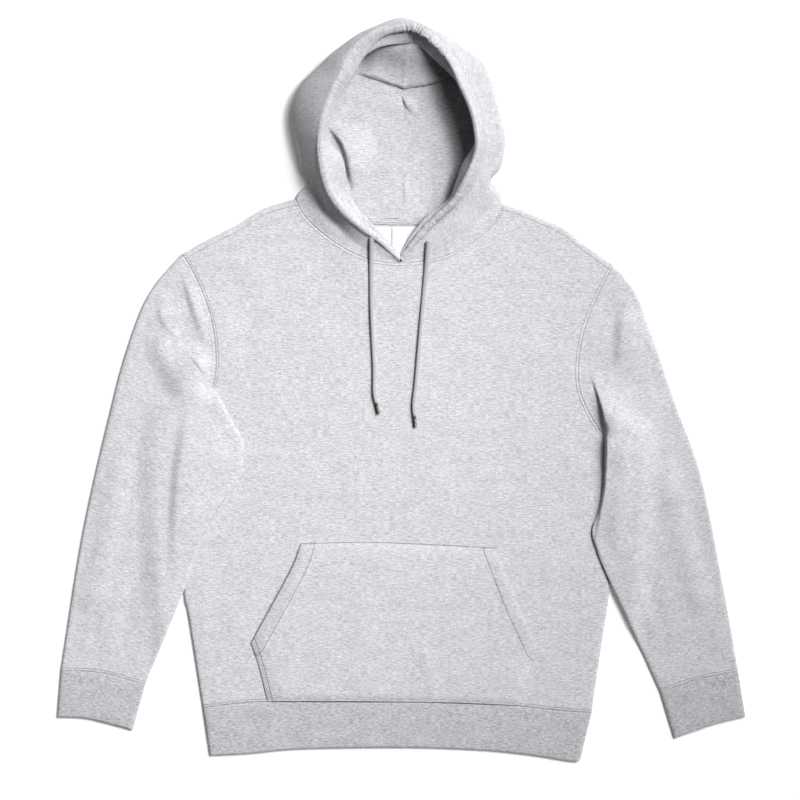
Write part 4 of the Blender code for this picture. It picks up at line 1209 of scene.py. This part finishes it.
sleeve_left, sleeve_left_rows = build_sleeve(
    "left", outer_left, inner_left, armhole_left, underarm_left, side_left, cuff_seam_left, 1,
    SETTLE_LEFT)
sleeve_right, sleeve_right_rows = build_sleeve(
    "right", outer_right, inner_right, armhole_right, underarm_right, side_right,
    cuff_seam_right, -1, SETTLE_RIGHT)
hem = build_band("hem_rib", hem_seam, hem_edge, 160, "hem_band", 2.0)
cuff_left = build_band("cuff_left_rib", cuff_seam_left, cuff_edge_left, 40, "cuff_left", 4.0)
cuff_right = build_band("cuff_right_rib", cuff_seam_right, cuff_edge_right, 40, "cuff_right", 6.0)


# ---------------- hood
HOOD_VALUES = np.array(HOOD, float)
HOOD_MIDDLE = place(403.5, 140)


def hood_values(station):
    """The hood table read smoothly at any station, as a row."""
    index = min(int(station / 2), len(HOOD) - 2)
    picks = [HOOD_VALUES[min(max(index + step, 0), len(HOOD) - 1)] for step in (-1, 0, 1, 2)]
    return type(HOOD[0])(*catmull(*picks, station / 2 - index))


def hood_seam(station):
    """Where a section starts: front neck, back neck or centre seam."""
    left = station <= HOOD_CROWN
    half = station if left else 2 * HOOD_CROWN - station
    if half <= HOOD_UNDER:
        share = 0.5 - 0.5 * min(half, HOOD_FRONT_STATIONS) / HOOD_FRONT_STATIONS
        share = share if left else 1.0 - share
        point = neck_front.beside(share, SEAM_SPLIT)
        point[1] += NECK_POINT_CLEAR * smooth(half - HOOD_FRONT_STATIONS + 1)
        point[2] = front_height(neck_front.at(share)[None])[0]
        if half > HOOD_FRONT_STATIONS:
            under = (half - HOOD_FRONT_STATIONS) / (HOOD_UNDER - HOOD_FRONT_STATIONS)
            point += np.array([0, FLEECE * 0.3, FLEECE / 2 - point[2]]) * under
        return point
    half -= HOOD_FRONT_STATIONS
    if half <= HOOD_BACK_STATIONS:
        share = half / HOOD_BACK_STATIONS
        share = NECK_CENTRE * share if left else 1.0 - (1.0 - NECK_CENTRE) * share
        point = neck_back.at(share)
        return np.array([point[0], point[1] + SEAM_GAP, FLEECE / 2])
    half -= HOOD_BACK_STATIONS
    share = half / (HOOD_CROWN - HOOD_FRONT_STATIONS - HOOD_BACK_STATIONS)
    row = CENTRE_FOOT_ROW + (TUCK_ROW - CENTRE_FOOT_ROW) * share
    return place(CENTRE_COLUMN, row) + np.array([0, SEAM_GAP * (1 - share), FLEECE / 2])


def floor_rise(points):
    """The folds that lie across the hood's back: its tuck and the soft laps beside it."""
    rise = lap(points, tuck_line, TUCK_HEIGHT, TUCK_RUN, TUCK_LENGTH, (0.2, 0.2))
    rise += lap(points, tuck_line, BACK_RISE, BACK_RUN, BACK_END, (0.15, 0.15))
    return rise + lapped(points, HOOD_LAPS)


def dented(points):
    """The hood's outline drawn in above the shoulders."""
    for dent in DENTS:
        centre = place(dent.column, dent.row)
        away = points[..., 1] - centre[1]
        side = math.copysign(1, -dent.shift)
        near = smooth(1 + (points[..., 0] - centre[0]) * side / DENT_REACH)
        points[..., 0] += dent.shift * SQUARE * bell(away, dent.spread * SQUARE) * near
    return points


def hood_weave(points, out):
    """Courses run level across the hood, also where its walls are unfolded outwards."""
    weave = points[..., :2].copy()
    side = unit(points[:, STITCH, :2] - HOOD_MIDDLE[:2])
    extra = (out[:, FOOT:] - out[:, FOOT:FOOT + 1])[..., None]
    weave[:, FOOT:] = points[:, FOOT:FOOT + 1, :2] + side[:, None] * extra
    return weave


def hood_section(station):
    """The control points of one section of the hood."""
    row, seam = hood_values(station), hood_seam(station)
    side = place(row.side_column, row.side_row, row.side_height)
    stitch = place(row.stitch_column, row.stitch_row, row.stitch_height)
    fold = place(row.fold_column, row.fold_row, row.fold_height)
    foot = side * (1 - row.foot) + seam * row.foot
    front = smooth((abs(station - HOOD_CROWN) - HOOD_CROWN + HOOD_UNDER) / 0.5 + 1)
    foot[2] = max(row.foot_height * MM * front + FLEECE / 2 * (1 - front), FLEECE / 2)
    before, after = hood_values(max(station - 0.5, 0)), hood_values(min(station + 0.5, 48))
    along = place(after.fold_column, after.fold_row) - place(before.fold_column, before.fold_row)
    into = unit(np.array([along[1], -along[0], 0]))
    rise = fold - stitch
    lean = unit(np.array([rise @ into, rise[2]]))
    outward_turn = into * lean[0] + UP * lean[1]
    inward_turn = into * lean[1] - UP * lean[0]
    radius = min(HOOD_HEM_ROLL, 0.0011 + 0.09 * fold[2])
    centre = fold - outward_turn * radius + inward_turn * radius
    hem_edge = fold + into * (row.reach * MM + 2 * radius) - UP * row.drop * MM
    return np.array([seam, foot, side, stitch, centre - inward_turn * radius,
                     centre + outward_turn * radius, centre + inward_turn * radius, hem_edge])


def hood_points(station):
    """One section of the hood, from its seam to the inner edge of its hem."""
    marks = hood_section(station)
    ends = with_ends(marks)
    rows = [marks[:1]]
    for (first, last), count in zip(HOOD_SPANS, HOOD_CELLS):
        share = np.arange(1, count + 1)[:, None] / count * (last - first)
        if first == 0:
            rows.append(marks[0] + (marks[1] - marks[0]) * share)
            continue
        index = np.minimum(first + share.astype(int), last - 1)[:, 0]
        rows.append(catmull(*(ends[index + step] for step in range(4)),
                            share + first - index[:, None]))
    return np.vstack(rows)


def eased(points, first, last, turns):
    """Soften the sections between two columns."""
    for _ in range(turns):
        points[:, first:last] = (points[:, first:last] + points[:, first - 1:last - 1]
                                 + points[:, first + 1:last + 1]) / 3
    return points


def build_hood(side, last, shift):
    """A half of the hood; shift moves it off the centre seam."""
    stations = np.linspace(last, HOOD_CROWN, HOOD_ROWS)
    points = np.array([hood_points(station) for station in stations])
    points = dented(eased(points, FOOT - 9, FOOT + 6, 5))
    stations = stations[:, None]
    front = np.minimum(stations, 2 * HOOD_CROWN - stations) <= HOOD_FRONT_STATIONS
    out = along_rows(points)
    stitch = out - out[:, STITCH:STITCH + 1]
    along = travelled(points[:, STITCH])[:, None]
    weave = hood_weave(points, out)
    points[:, :FOOT + 1, 2] += floor_rise(points[:, :FOOT + 1])
    outward = unit(np.cross(np.gradient(points, axis=1), np.gradient(points, axis=0)))
    if outward[:, STITCH, 2].mean() < 0:
        outward = -outward
    casing = bell(stitch - 0.0065, 0.006)
    gather = 0.0003 + 0.0026 * bell(stations - PUCKER_STATION, 2.2)
    wave = np.sin(along / PUCKER_LENGTH * 2 * np.pi + 3 * np.sin(along / 0.031 * 2 * np.pi))
    relief = gather * wave * bell(stitch - 0.009, 0.009)
    relief += 0.0006 * casing - 0.0005 * bell(stitch, 0.0014)
    relief += 0.0016 * ripple(points, 0.035, 11.0) * smooth(out / 0.03) * (1 - casing)
    relief *= smooth((out[:, -1:] - out) / 0.004) * smooth(out / 0.008)
    relief += np.where(front, seam_relief(out) + SEAM_DIP * 0.4, 0.0)
    points = points + outward * relief[..., None]
    points[..., 2] = np.maximum(points[..., 2], FLEECE / 2)
    points[..., 0] += shift
    neck = np.where(front, out, 1.0)
    seam = np.minimum(neck, np.abs(along - along[-1]) + 0.0007)
    seam[:, :FOOT] = neck[:, :FOOT]
    near = np.abs(stitch) < 0.03
    # Painted shade: a dark line is drawn along the crease of the back's tuck, besides the darkened
    # stitch rows and seams of the casing and neck.
    tuck, share = tuck_line.ahead(points)
    folded = bell(tuck, 0.004) * smooth(share / 0.12) * smooth((1 - share) / 0.12)
    folded *= np.arange(points.shape[1]) <= FOOT
    needle = np.where(folded > 0.01, tuck, np.where(near, stitch + 0.0024, 1.0))
    piece = cloth(f"hood_{side}_cloth", points, FLEECE, fleece, f"hood_{side}",
                  wall=rounded_rim(out[:, -1:] - out), weave=weave, seam=seam,
                  stitch=np.where(near, stitch - 0.0008, 1.0), needle=needle,
                  press=0.75 * folded)
    edge = (points[:, STITCH] + points[:, STITCH + 1]) / 2
    return piece, (edge + outward[:, STITCH] * FLEECE * 0.5, outward[:, STITCH])


hood_left, hood_left_run = build_hood("left", 0, -SEAM_SPLIT)
hood_right, hood_right_run = build_hood("right", 2 * HOOD_CROWN, SEAM_SPLIT)


# ---------------- neck tape and labels
TAPE_ROWS = np.array([0.0, 0.04, 0.1, 0.2, 0.35, 0.5, 0.65, 0.8, 0.9, 0.96, 1.0])


def build_tape():
    middle = neck_back.at(np.linspace(*TAPE_SPAN, 60))
    points = np.array([middle + np.array([0, (side - 0.5) * TAPE_WIDTH, 0])
                       for side in TAPE_ROWS])
    points[..., 2] = (FLEECE + SEAM_GAP + TAPE / 2 + 0.0003 * np.sin(np.pi * TAPE_ROWS))[:, None]
    away = np.abs(np.linspace(-0.5, 0.5, len(points)) * TAPE_WIDTH)[:, None] + 0 * points[..., 0]
    return cloth("neck_tape_band", points, TAPE, fleece, "neck_tape", stitch=away - 0.0012)


def build_label(label):
    level = FLEECE + label.level * (SEAM_GAP + TAPE) - TAPE / 2
    points = np.array([[place(column, row, level / MM)
                        for column in np.linspace(label.left, label.right, 30)]
                       for row in np.linspace(label.bottom, label.top, 24)])
    return cloth(f"{label.name}_blank", points, TAPE, satin, label.name)


tape = build_tape()
labels = [build_label(row) for row in LABEL]


# ---------------- stitching
stitches("stitch_rows_body", [sewn(front_rows, *run) for run in (
    (neck_front, -NEEDLE, 0.01, 0.99), (hem_seam, NEEDLE, 0.012, 0.988),
    (armhole_left, -NEEDLE, 0.03, 0.97), (armhole_right, NEEDLE, 0.03, 0.97),
    (shoulder_left, -SHOULDER_STITCH, 0.07, 0.97),
    (shoulder_right, -SHOULDER_STITCH, 0.03, 0.93))])
stitches("stitch_rows_pocket", [sewn(pocket_rows, *run) for run in (
    (pocket_left.lines[1], -MOUTH_STITCH, 0.10, 0.97),
    (pocket_right.lines[1], MOUTH_STITCH, 0.10, 0.97),
    (pocket_left.lines[0], -SIDE_STITCH, 0.04, 0.97))])
stitches("stitch_rows_sleeves", [
    sewn(sleeve_left_rows, cuff_seam_left, NEEDLE, 0.06, 0.94),
    sewn(sleeve_right_rows, cuff_seam_right, -NEEDLE, 0.06, 0.94)])
stitches("stitch_rows_hood", [hood_left_run, hood_right_run])


# ---------------- cloth facts
SHEETS = table(
    "piece width length area held on",
    (front, 0.580, 0.670, 0.325, "laid", back),
    (back, 0.570, 0.670, 0.333, "laid", "table_top"),
    (pocket, 0.380, 0.215, 0.0675, "laid", front),
    (hem, 1.010, 0.062, None, "laid", "table_top"),
    (sleeve_left, 0.420, 0.580, 0.174, "laid", "table_top"),
    (sleeve_right, 0.420, 0.580, 0.151, "laid", "table_top"),
    (cuff_left, 0.235, 0.057, None, "laid", "table_top"),
    (cuff_right, 0.230, 0.057, None, "laid", "table_top"),
    (hood_left, 0.300, 0.360, 0.064, "draped", back),
    (hood_right, 0.300, 0.360, 0.060, "draped", back),
    (tape, 0.155, 0.0105, None, "laid", back),
    (labels[0], 0.096, 0.0415, None, "laid", back),
    (labels[1], 0.0175, 0.0385, None, "laid", labels[0]))


# ---------------- table, light and view
LIGHT_WAY = Vector((0.76, 0.60, 1.12)).normalized()
LIGHT_CENTRE = place(237, 424)  # where the spot points and the table's colour is painted darkest, offsetting the spot's light
SUN_POWER, SUN_ANGLE = 3.88, 42
SPOT_POWER, SPOT_SIZE = 240.0, 0.3
SPOT_DISTANCE, SPOT_RADIUS = 3.0, 0.744
SKY_POWER = 0.03
TABLE_SIZE = 3.0
TABLE_DARK, TABLE_LIGHT, TABLE_GLOW = 0.655, 0.98, 0.12
SHADE_START, SHADE_END = 0.15, 0.75


def plain(level):
    """A neutral grey of a given linear level."""
    return level, level, level, 1.0


form = bmesh.new()
bmesh.ops.create_grid(form, x_segments=1, y_segments=1, size=TABLE_SIZE)
floor = make_object("table_top", mesh_of("table_top", form))
# Painted light: the paper's colour is painted darker near the spot and lighter further out,
# offsetting the spot's falloff. The paper also glows a little so the table stays white.
paper = Finish("table_white", 0.9)
away = paper.node("VectorMath", {"operation": "DISTANCE"},
                  {0: paper.node("TexCoord", output=3), 1: tuple(LIGHT_CENTRE)}, output=1)
paper.feed(base_color=paper.blend(paper.between(away, SHADE_START, SHADE_END),
                                  plain(TABLE_DARK), plain(TABLE_LIGHT)),
           emission_color=plain(TABLE_GLOW), emission_strength=1.0)
floor.data.materials.append(paper.material)


def add_light(name, kind, energy, position):
    light = make_object(name, bpy.data.lights.new(name, kind))
    light.data.energy = energy
    light.location = position
    light.rotation_euler = LIGHT_WAY.to_track_quat("Z", "Y").to_euler()
    return light.data


sun = add_light("key_light", "SUN", SUN_POWER, LIGHT_WAY)
sun.angle = math.radians(SUN_ANGLE)
spot = add_light("key_spot", "SPOT", SPOT_POWER, Vector(LIGHT_CENTRE) + LIGHT_WAY * SPOT_DISTANCE)
spot.shadow_soft_size = SPOT_SIZE
spot.spot_size = 2 * math.atan(SPOT_RADIUS / SPOT_DISTANCE)
spot.spot_blend = 1.0

world = bpy.data.worlds.new("studio")
world.use_nodes = True
sky = world.node_tree.nodes["Background"].inputs
sky["Color"].default_value = plain(1.0)
sky["Strength"].default_value = SKY_POWER
scene.world = world
scene.view_settings.view_transform = "Standard"
